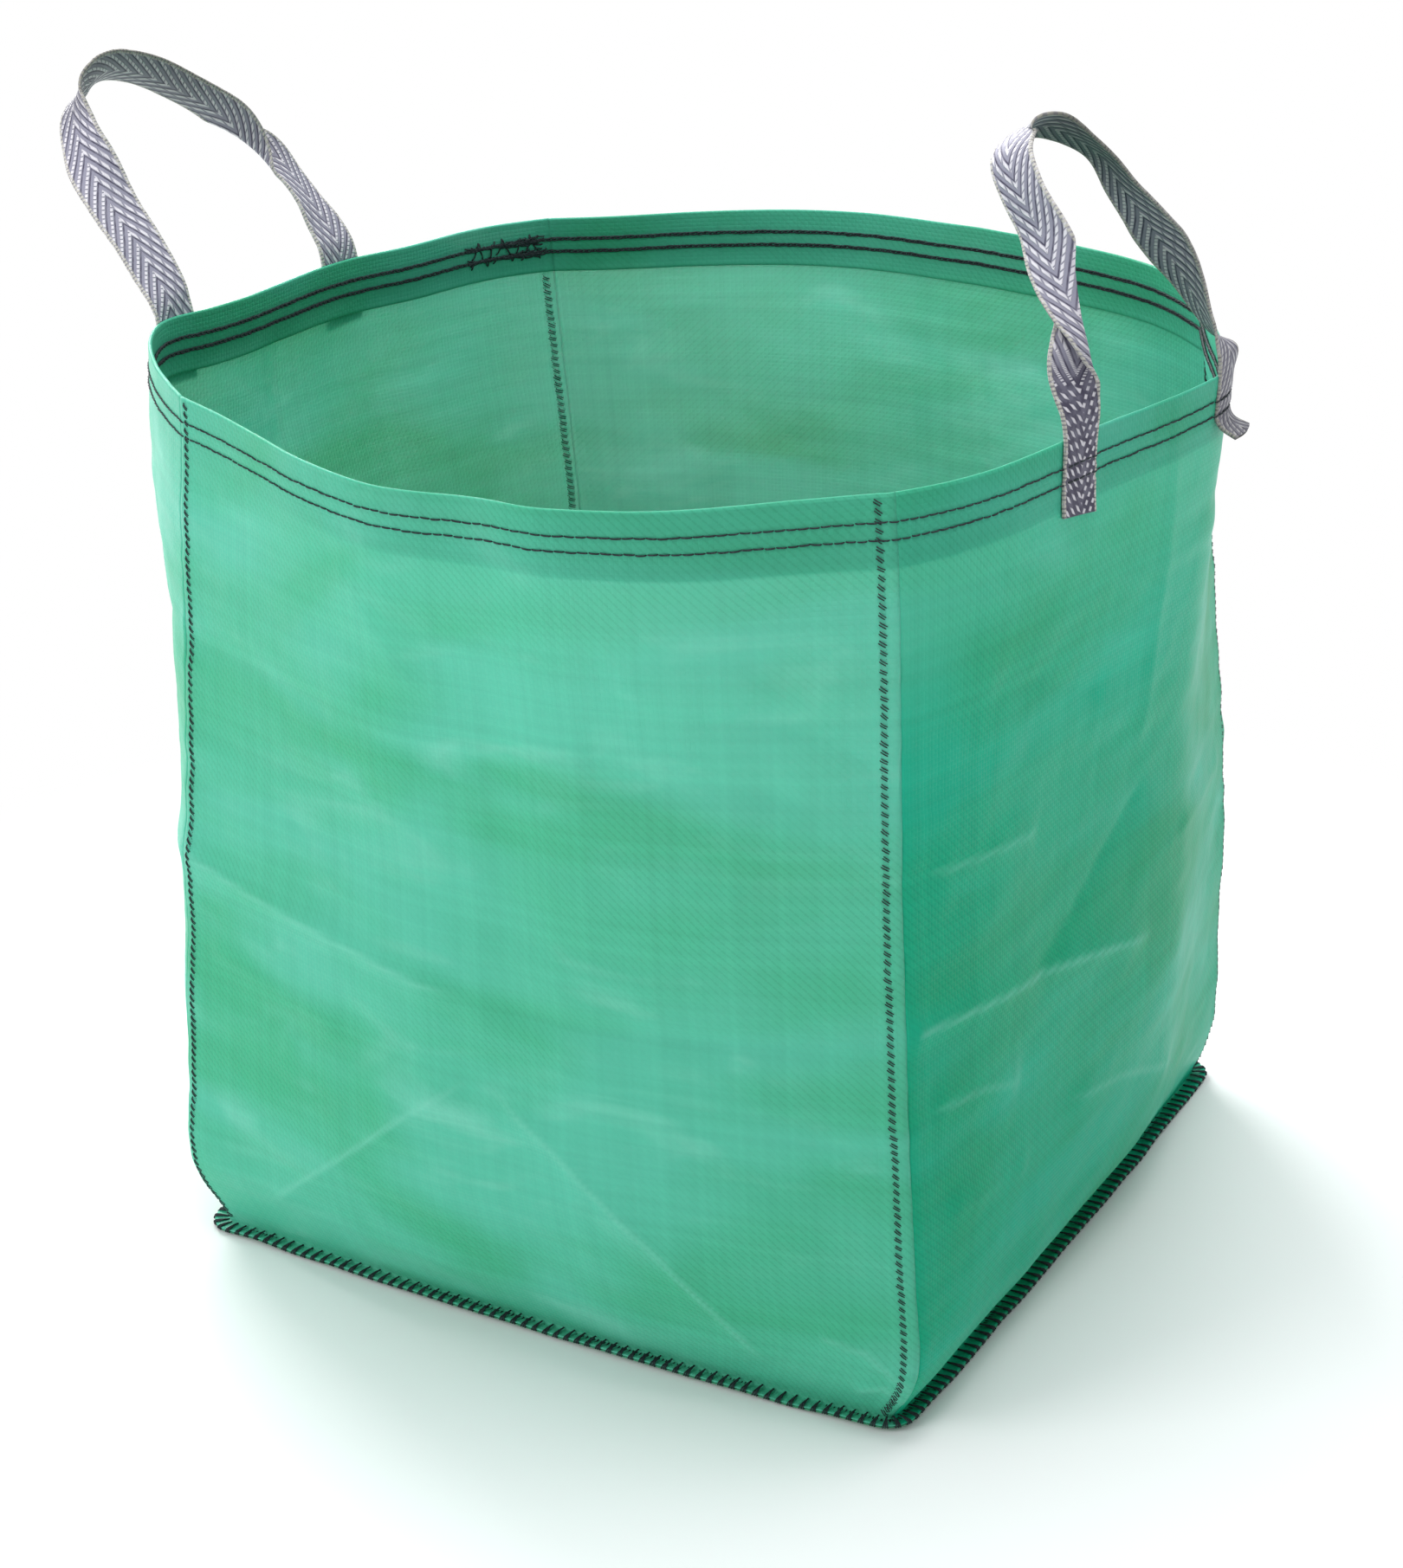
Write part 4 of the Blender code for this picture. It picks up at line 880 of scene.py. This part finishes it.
# cup: how far the strap's edges curl, in mm over its half width, along the loop
# flare: degrees by which the tip of each sewn end stands off the wall
# fold: where the strap folds over on itself, as its place across in mm along the loop; flapEnd: the end beyond it
# the last table of each form is painted shade along the loop, by share of its length
handleForms = (
    {"name": "left", "wall": 3, "middleY": -0.0285, "loopHeight": 0.142, "lean": -37, "arch": leftArch,
     "twist": leftTwist, "dotted": 0.0, "reversed": False, "flare": (4, 6), "foldTurn": 130, "flapEnd": 0,
     "fold": ((0.67, -21), (0.76, 0), (0.85, 21)),
     "cup": ((0.0, 0.0), (0.3, 0.5), (0.36, 1.0), (0.5, 2.0), (0.62, 2.0), (0.7, 1.0), (0.78, 0.0), (0.9, 0.5),
             (1.0, 0.0)),
     "paintedShadeAlong": ((0.0, 0.1), (0.36, 0.1), (0.42, 0.85), (0.6, 0.85), (0.72, 0.5), (0.78, 0.15), (1.0, 0.1))},
    {"name": "right", "wall": 1, "middleY": 0.0, "loopHeight": 0.146, "lean": -25, "arch": rightArch,
     "twist": rightTwist, "dotted": 1.0, "reversed": True, "flare": (4, 68), "foldTurn": 180, "flapEnd": 1,
     "fold": ((0.015, 21), (0.1, 8), (0.15, 0), (0.22, -8), (0.3, -21)),
     "cup": ((0.0, 0.0), (0.3, 0.0), (0.45, 1.0), (0.6, 1.5), (0.8, 1.0), (0.93, 0.5), (1.0, 0.0)),
     "paintedShadeAlong": ((0.0, 0.3), (0.22, 0.25), (0.3, 0.0), (0.44, 0.0), (0.49, 0.95), (0.58, 0.9), (0.66, 0.6),
               (0.9, 0.6), (1.0, 0.8))},
)


def shareAtY(wall, y):
    s = np.linspace(-0.98, 0.98, 1961)
    line = wallLine(wall, s, np.full(s.shape, height))[:, 1]
    order = np.argsort(line)
    return float(np.interp(y, line[order], s[order]))


def cadPoint(wall, s, z, out):
    around = wallLine(wall, np.array([s - 0.01, s, s + 0.01]), np.full(3, z))
    along = unit(around[2] - around[0])
    return np.append(around[1] + np.array([along[1], -along[0]]) * out, z)


def ribbonPath(form):
    wall = form["wall"]
    ends, shareEnds = [], []
    for side in (-1, 1):
        s = shareAtY(wall, form["middleY"] + side * strap["spacing"] / 2)
        out = strap["offWall"] + strap["thickness"] / 2
        foot, rim = cadPoint(wall, s, height - strap["tab"] / 2, out), cadPoint(wall, s, height, out)
        ends.append(rim + (rim - foot) * strap["hingeRise"] / (rim[2] - foot[2]))
        shareEnds.append(s)
    axis = unit(ends[1] - ends[0])
    middle, halfSpan = (ends[0] + ends[1]) / 2, np.linalg.norm(ends[1] - ends[0]) / 2
    up = turned(np.array([0.0, 0, 1]), axis, form["lean"])
    up = unit(up - axis * (up @ axis))
    square = np.cross(axis, up)
    t = np.linspace(0, 1, 361)
    last = len(form["arch"]) - 1
    tables = [[(i / last, value) for i, value in enumerate(values)] for values in zip(*form["arch"])]
    beside, rising, asideShare = (np.asarray(curveThrough(table, t))[:, None] for table in tables)
    loop = middle + axis * halfSpan * beside + (up * rising + square * asideShare) * form["loopHeight"]
    run = runAlong(loop)
    way = unit(np.gradient(loop, axis=0))
    turn = np.radians(curveThrough(form["twist"], run / run[-1]))[:, None]
    loopAcross = square * np.cos(turn) + np.cross(way, np.broadcast_to(square, way.shape)) * np.sin(turn)
    # sewn ends follow the wall as it is shaped here
    centres, acrosses, tabColumns = [], [], []
    for index in (0, 1):
        column = columnAt(wall, shareEnds[index])
        tabColumns.append(column)
        # below the lower stitch row the end may bend away from the wall, by the angle in flare at its tip
        bendRun = np.arange(0, strap["tab"] - strap["bendDrop"], strap["rowGap"])
        bends = np.radians(form["flare"][index]) * smoothStep(bendRun, -0.004, 0.012)
        outs, drops = (np.concatenate([[0], np.cumsum(part(bends)) * strap["rowGap"]]) for part in (np.sin, np.cos))
        standing = half + 0.0001 + strap["thickness"] / 2
        bendTop = height - strap["bendDrop"]
        flat = [wallPlace(column, bendTop - drop, standing + away)[0] for away, drop in zip(outs[::-1], drops[::-1])]
        heights = np.arange(bendTop + strap["rowGap"], height - 0.0005, strap["rowGap"])
        flat = np.array(flat + [wallPlace(column, z, standing)[0] for z in heights])
        beside = unit(wallPlace(column + 2, height - 0.01)[0] - wallPlace(column - 2, height - 0.01)[0])
        travel = unit(flat[-1] - flat[0]) * (1 if index == 0 else -1)
        folded = form["foldTurn"] if index == form["flapEnd"] else 0
        if beside @ turned(loopAcross[0 if index == 0 else -1], travel, -folded) < 0:
            beside = -beside
        tabAcross = np.repeat(turned(beside, travel, folded)[None], len(flat), 0)
        if index == 0:
            centres += [flat, loop[2:-2]]
            acrosses += [tabAcross, loopAcross[2:-2]]
        else:
            centres.append(flat[::-1])
            acrosses.append(tabAcross)
    centres, acrosses = np.concatenate(centres), np.concatenate(acrosses)
    length = runAlong(centres)
    even = np.linspace(0, length[-1], int(length[-1] / strap["rowGap"]) + 1)
    centres = np.stack([np.interp(even, length, centres[:, k]) for k in range(3)], -1)
    acrosses = unit(np.stack([np.interp(even, length, acrosses[:, k]) for k in range(3)], -1))
    hinges = (strap["tab"] + 0.004, length[-1] - strap["tab"] - 0.004)
    nearHinge = sum(bell(even - hinge, 0.009) for hinge in hinges)[1:-1, None]
    for _ in range(60):
        for values in (centres, acrosses):
            values[1:-1] += ((values[2:] + values[:-2]) / 2 - values[1:-1]) * np.clip(nearHinge, 0, 1) * 0.9
    way = unit(np.gradient(centres, axis=0))
    acrosses = unit(acrosses - way * (acrosses * way).sum(1)[:, None])
    lifts = np.cross(acrosses, way)  # towards face A
    loopShare = np.clip((even - hinges[0]) / (hinges[1] - hinges[0]), 0, 1)
    cups = curveThrough(form["cup"], loopShare) / 1000
    foldAt = np.interp(loopShare, *zip(*form["fold"])) / 1000
    return centres, acrosses, lifts, even, cups, foldAt, tabColumns, middle


def ribbonObject(form):
    centres, acrosses, lifts, even, cups, foldAt, tabColumns, middle = ribbonPath(form)
    halfWidth, thick = strap["width"] / 2, strap["thickness"] / 2
    x = np.linspace(-halfWidth + 0.0004, halfWidth - 0.0004, 41)
    # direction of the section at each place across: a slight cup, and a tight bend where the strap folds over
    folded = math.radians(form["foldTurn"]) * smoothStep(x - foldAt[:, None], -0.0045, 0.0045)
    turn = (2 * cups / halfWidth**2)[:, None] * x + folded
    heading = np.stack([np.cos(turn), np.sin(turn)], -1)
    steps = (heading[:, 1:] + heading[:, :-1]) / 2 * (x[1] - x[0])
    line = np.concatenate([np.zeros((len(even), 1, 2)), np.cumsum(steps, 1)], 1)
    line -= line.mean(1)[:, None]
    square = np.stack([-heading[..., 1], heading[..., 0]], -1)
    # the stitch rows sink into the sewn ends
    total = even[-1]
    fromEnd = np.minimum(even, total - even)
    pressed = sum(bell(fromEnd - (strap["tab"] - drop), 0.0011) for drop in rowDrops)
    thin = (1 - 0.45 * pressed)[:, None, None]
    bulk = (thick + strap["selvedge"] * bell(np.abs(x) - halfWidth + 0.0014, 0.0011))[None, :, None] * thin
    edge = np.array([0.00028, 0.0004, 0.00028])[None, :, None]
    edgeRise = np.array([thick * 0.62, 0.0, -thick * 0.62])[None, :, None] * thin
    section = np.concatenate([line + square * bulk,
                              line[:, -1:] + heading[:, -1:] * edge + square[:, -1:] * edgeRise,
                              (line - square * bulk)[:, ::-1],
                              line[:, :1] - heading[:, :1] * edge - square[:, :1] * edgeRise], 1)
    sectionU = np.concatenate([x + halfWidth, [strap["width"]] * 3, 0.1 + x[::-1] + halfWidth, [0.1] * 3])
    count, wide = len(even), len(sectionU)
    points = centres[:, None] + acrosses[:, None] * section[..., :1] + lifts[:, None] * section[..., 1:]
    # sewn ends bend with the wall across their width
    for end, column in enumerate(tabColumns):
        away = wallPlace(column + 1, height - 0.01)[0] - wallPlace(column - 1, height - 0.01)[0]
        spacing, beside = np.linalg.norm(away) / 2, unit(away)
        for i in range(count):
            along = even[i] if end == 0 else total - even[i]
            if along > strap["tab"] + 0.012:
                continue
            share = 1 - smoothStep(along, strap["tab"] - 0.004, strap["tab"] + 0.012)
            z = centres[i][2]
            low = min(z, height - 0.003)
            place, normal = wallPlace(column, low)
            for j, offset in enumerate(points[i] - place - [0, 0, z - low]):
                wrapped = wallPlace(column + offset @ beside / spacing, low, offset @ normal)[0]
                wrapped += [0, 0, z - low + offset[2]]
                points[i, j] = points[i, j] * (1 - share) + wrapped * share
    index = np.arange(count * wide).reshape(count, wide)
    a, b = index[:-1], index[1:]
    quads = np.stack([a, np.roll(a, -1, 1), np.roll(b, -1, 1), b], -1).reshape(-1, 4).tolist()
    faces = quads + [index[0][::-1].tolist(), index[-1].tolist()]
    if form["reversed"]:
        sectionU = np.where(sectionU > 0.05, 0.2, 0.0) + strap["width"] - sectionU
    weaveRun = even[:, None] * (-1 if form["reversed"] else 1)
    uvs = np.stack(np.broadcast_arrays(sectionU[None, :], weaveRun), -1).reshape(-1, 2)
    # on the right strap's sewn ends the weave shows as dots; painted shade darkens the far half of each loop
    dots = (1 - smoothStep(even, strap["tab"] + 0.025, strap["tab"] + 0.045)) * form["dotted"]
    paintedShadeAlong = np.interp(even / total, *zip(*form["paintedShadeAlong"]))
    made = meshObject(form["name"] + "Strap", points.reshape(-1, 3), faces, uvs,
                      {"wear": np.repeat(dots, wide), "tone": np.repeat(paintedShadeAlong, wide)})
    faceOutwards(made.data)
    made.data.materials.append(greyWebbing)
    return made, tabColumns, middle


straps = {form["name"]: ribbonObject(form) for form in handleForms}
print("straps done")

# Hem rows: stitches outside, which climb over the sewn ends, and chain inside
overTab = np.zeros(ringCount)
for _, tabColumns, _ in straps.values():
    for column in tabColumns:
        away = np.abs(np.arange(ringCount) - column) * 0.0026
        overTab = np.maximum(overTab, 1 - smoothStep(away, strap["width"] / 2, strap["width"] / 2 + 0.003))
insideHem = -(2 * fold + half + 0.0005)
hemPieces = []
for kind, out, flip, shape, look, seeds in (
        ("HemStitches", half + 0.00025 + overTab * (strap["thickness"] * 0.8), 1, hemStitch, "hem", (4, 9)),
        ("HemChain", insideHem, -1, chainLink, "chain", (14, 19))):
    for name, drop, seed in zip(("upper", "lower"), rowDrops, seeds):
        line, normal = ringLine(height - drop, out)
        hemPieces.append(stitchRun(name + kind, [(line, normal * flip, True)], shape, look, seed))


def seamLine(index, low, high, out, flip=1):
    near = np.arange(-24, 25)
    place = ringPlace[(index * columns + near) % ringCount]
    column = index * columns + float(np.interp(seamAt[index], place, near))
    return placedLine([wallPlace(column, z, out) for z in np.arange(low, high, 0.003)], flip)


seamPieces = []
for index, name in enumerate(("frontLeft", "frontRight", "backRight", "backLeft")):
    lines = [seamLine(index, 0.008, height - 0.002, half + 0.0002),
             seamLine(index, 0.012, height - bag["hemDepth"] - 0.002, -(half + 0.0003), -1)]
    seamPieces.append(stitchRun(name + "Seam", lines, seamStitch, "seam", 31 + index))

# Overlocking along each side of the foot
wrapPieces = []
lipEdge = shell[0] - [0, 0, 0.0005]
for wall, form in enumerate(wallForms):
    pick = wallColumns(wall)
    normal = np.column_stack([outward[0][pick], np.zeros(columns + 1)])
    lines = [(lipEdge[pick], normal, False)]
    wrapPieces.append(stitchRun(form["name"] + "Overlock", lines, edgeWrap, "wrap", 51 + wall))

# Where the inner rows start and end they are sewn over several times
patchLow, patchHigh = (columnAt(3, place / halfSide - 1) for place in (0.006, 0.054))
patchRuns = []
for row, drop in enumerate(rowDrops):
    for k, aside in enumerate((-0.0024, -0.0012, 0.0, 0.0012, 0.0024)):
        start, stop = patchLow + 0.5 * ((3 * k + 2 * row) % 5), patchHigh - 0.5 * ((2 * k + row) % 4)
        patchRuns.append(((start, drop + aside), (stop, drop - 0.4 * aside)))
for k, share in enumerate(np.linspace(0.08, 0.92, 8)):
    middle = patchLow + (patchHigh - patchLow) * share
    lean = 1.1 if k % 3 else -0.7
    patchRuns.append(((middle - lean, bag["upperRow"] - 0.001), (middle + lean, bag["lowerRow"] + 0.001)))
patchLines = []
for (lowColumn, lowDrop), (highColumn, highDrop) in patchRuns:
    places = [wallPlace(lowColumn + (highColumn - lowColumn) * t, height - lowDrop - (highDrop - lowDrop) * t,
                        insideHem - 0.0001) for t in np.linspace(0, 1, 24)]
    patchLines.append(placedLine(places, -1))
hemPieces.append(stitchRun("hemOverlapStitches", patchLines, hemStitch, "patch", 77))
for template in templates:
    bpy.data.objects.remove(template, do_unlink=True)
print("stitches done:", faceCount(hemPieces + seamPieces + wrapPieces), "faces")

# How the pieces stand for the model's nodes
sides = [form["name"] for form in wallForms]
corners = ("front_left", "front_right", "back_right", "back_left")
hemNodes = ("hem_upper_row_outside", "hem_lower_row_outside", "hem_upper_row_inside", "hem_lower_row_inside",
            "hem_stitch_overlap")
for pieces, nodes, slot in ((wallPieces, [side + "_panel" for side in sides], "green_fabric"),
                            ([basePiece], ["base_panel"], "green_base_fabric"),
                            (wrapPieces, [side + "_base_binding" for side in sides], "dark_thread"),
                            (seamPieces, [corner + "_seam_thread" for corner in corners], "dark_thread"),
                            (hemPieces, hemNodes, "dark_thread")):
    for piece, replaced in zip(pieces, nodes):
        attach(piece, "bag")
        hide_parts(replaced)
for side in ("left", "right"):
    piece, _, middle = straps[side]
    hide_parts(side + "_handle_loop", side + "_handle_front_tab", side + "_handle_rear_tab")
    x, y = float(middle[0]), float(middle[1])
    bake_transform(piece, "bag", side + "_handle", start=(x, y, height + 0.001), end=(x, y, height + 0.017))
print("pieces set on their bodies")

# Floor, light and camera
floorMesh = bpy.data.meshes.new("paleFloor")
floorMesh.from_pydata([(-14, -14, 0), (14, -14, 0), (14, 14, 0), (-14, 14, 0)], [], [(0, 1, 2, 3)])
addObject("paleFloor", floorMesh)
floorFinish = bpy.data.materials.new("paleFloorFinish")
floorFinish.use_nodes = True
tree = floorFinish.node_tree
shader = tree.nodes["Principled BSDF"]
for key, value in (("Base Color", (0.93, 0.93, 0.93, 1)), ("Roughness", 0.9), ("Specular IOR Level", 0.1)):
    shader.inputs[key].default_value = value
# away from the bag the camera sees the floor as plain white
place = node(tree, "ShaderNodeTexCoord").outputs["Object"]
away = Flow(node(tree, "ShaderNodeVectorMath", {0: place}, operation="LENGTH").outputs["Value"])
share = ramp(away, 0.38, 0.75) * node(tree, "ShaderNodeLightPath").outputs["Is Camera Ray"]
plain = node(tree, "ShaderNodeEmission", {"Color": (1, 1, 1, 1), "Strength": 1.0})
mixed = node(tree, "ShaderNodeMixShader", {0: share, 1: shader.outputs[0], 2: plain.outputs[0]})
tree.links.new(mixed.outputs[0], tree.nodes["Material Output"].inputs["Surface"])
floorMesh.materials.append(floorFinish)

world = bpy.data.worlds.new("studio")
scene.world = world
world.use_nodes = True
tree = world.node_tree
tree.nodes.clear()
rays = node(tree, "ShaderNodeLightPath").outputs
seen = calc("MAXIMUM", Flow(rays["Is Glossy Ray"]), rays["Is Transmission Ray"])
seen = calc("MAXIMUM", seen, rays["Is Camera Ray"])
ambient = node(tree, "ShaderNodeBackground", {"Color": (0.93, 0.97, 1.0, 1), "Strength": 0.56})
backdrop = node(tree, "ShaderNodeBackground", {"Color": (1, 1, 1, 1), "Strength": 1.0})
mixed = node(tree, "ShaderNodeMixShader", {0: seen, 1: ambient.outputs[0], 2: backdrop.outputs[0]})
node(tree, "ShaderNodeOutputWorld", {"Surface": mixed.outputs[0]})


def softLight(name, place, aim, size, power):
    data = bpy.data.lights.new(name, "AREA")
    data.shape = "RECTANGLE"
    data.size, data.size_y = size
    data.energy = power
    made = addObject(name, data)
    made.location = place
    made.rotation_euler = (Vector(aim) - Vector(place)).to_track_quat("-Z", "Y").to_euler()


softLight("keyLight", (-2.2, -3.1, 2.0), (0, -0.1, 0.25), (2.0, 1.8), 58)
softLight("topLight", (0.1, 0.3, 3.4), (0, 0, 0.3), (2.0, 2.0), 72)
softLight("backLight", (-3.0, 2.4, 1.9), (0, 0, 0.35), (2.4, 2.0), 190)

camera = {"place": (0.8714, -1.592, 1.0385), "azimuth": 29.15, "elevation": 23.72, "roll": -0.81, "lens": 78.7}
az, el, roll = (math.radians(camera[key]) for key in ("azimuth", "elevation", "roll"))
back = Vector((math.sin(az) * math.cos(el), -math.cos(az) * math.cos(el), math.sin(el)))
right = (-back).cross(Vector((0, 0, 1))).normalized()
upright = right.cross(-back)
right, upright = right * math.cos(roll) + upright * math.sin(roll), upright * math.cos(roll) - right * math.sin(roll)
lens = bpy.data.cameras.new("view")
lens.lens = camera["lens"]
lens.sensor_width = 36
lens.clip_end = 60
viewer = addObject("view", lens)
turning = Matrix((right, upright, back)).transposed().to_4x4()
viewer.matrix_world = Matrix.Translation(camera["place"]) @ turning
scene.camera = viewer
scene.view_settings.view_transform = "Standard"
print("stage done")
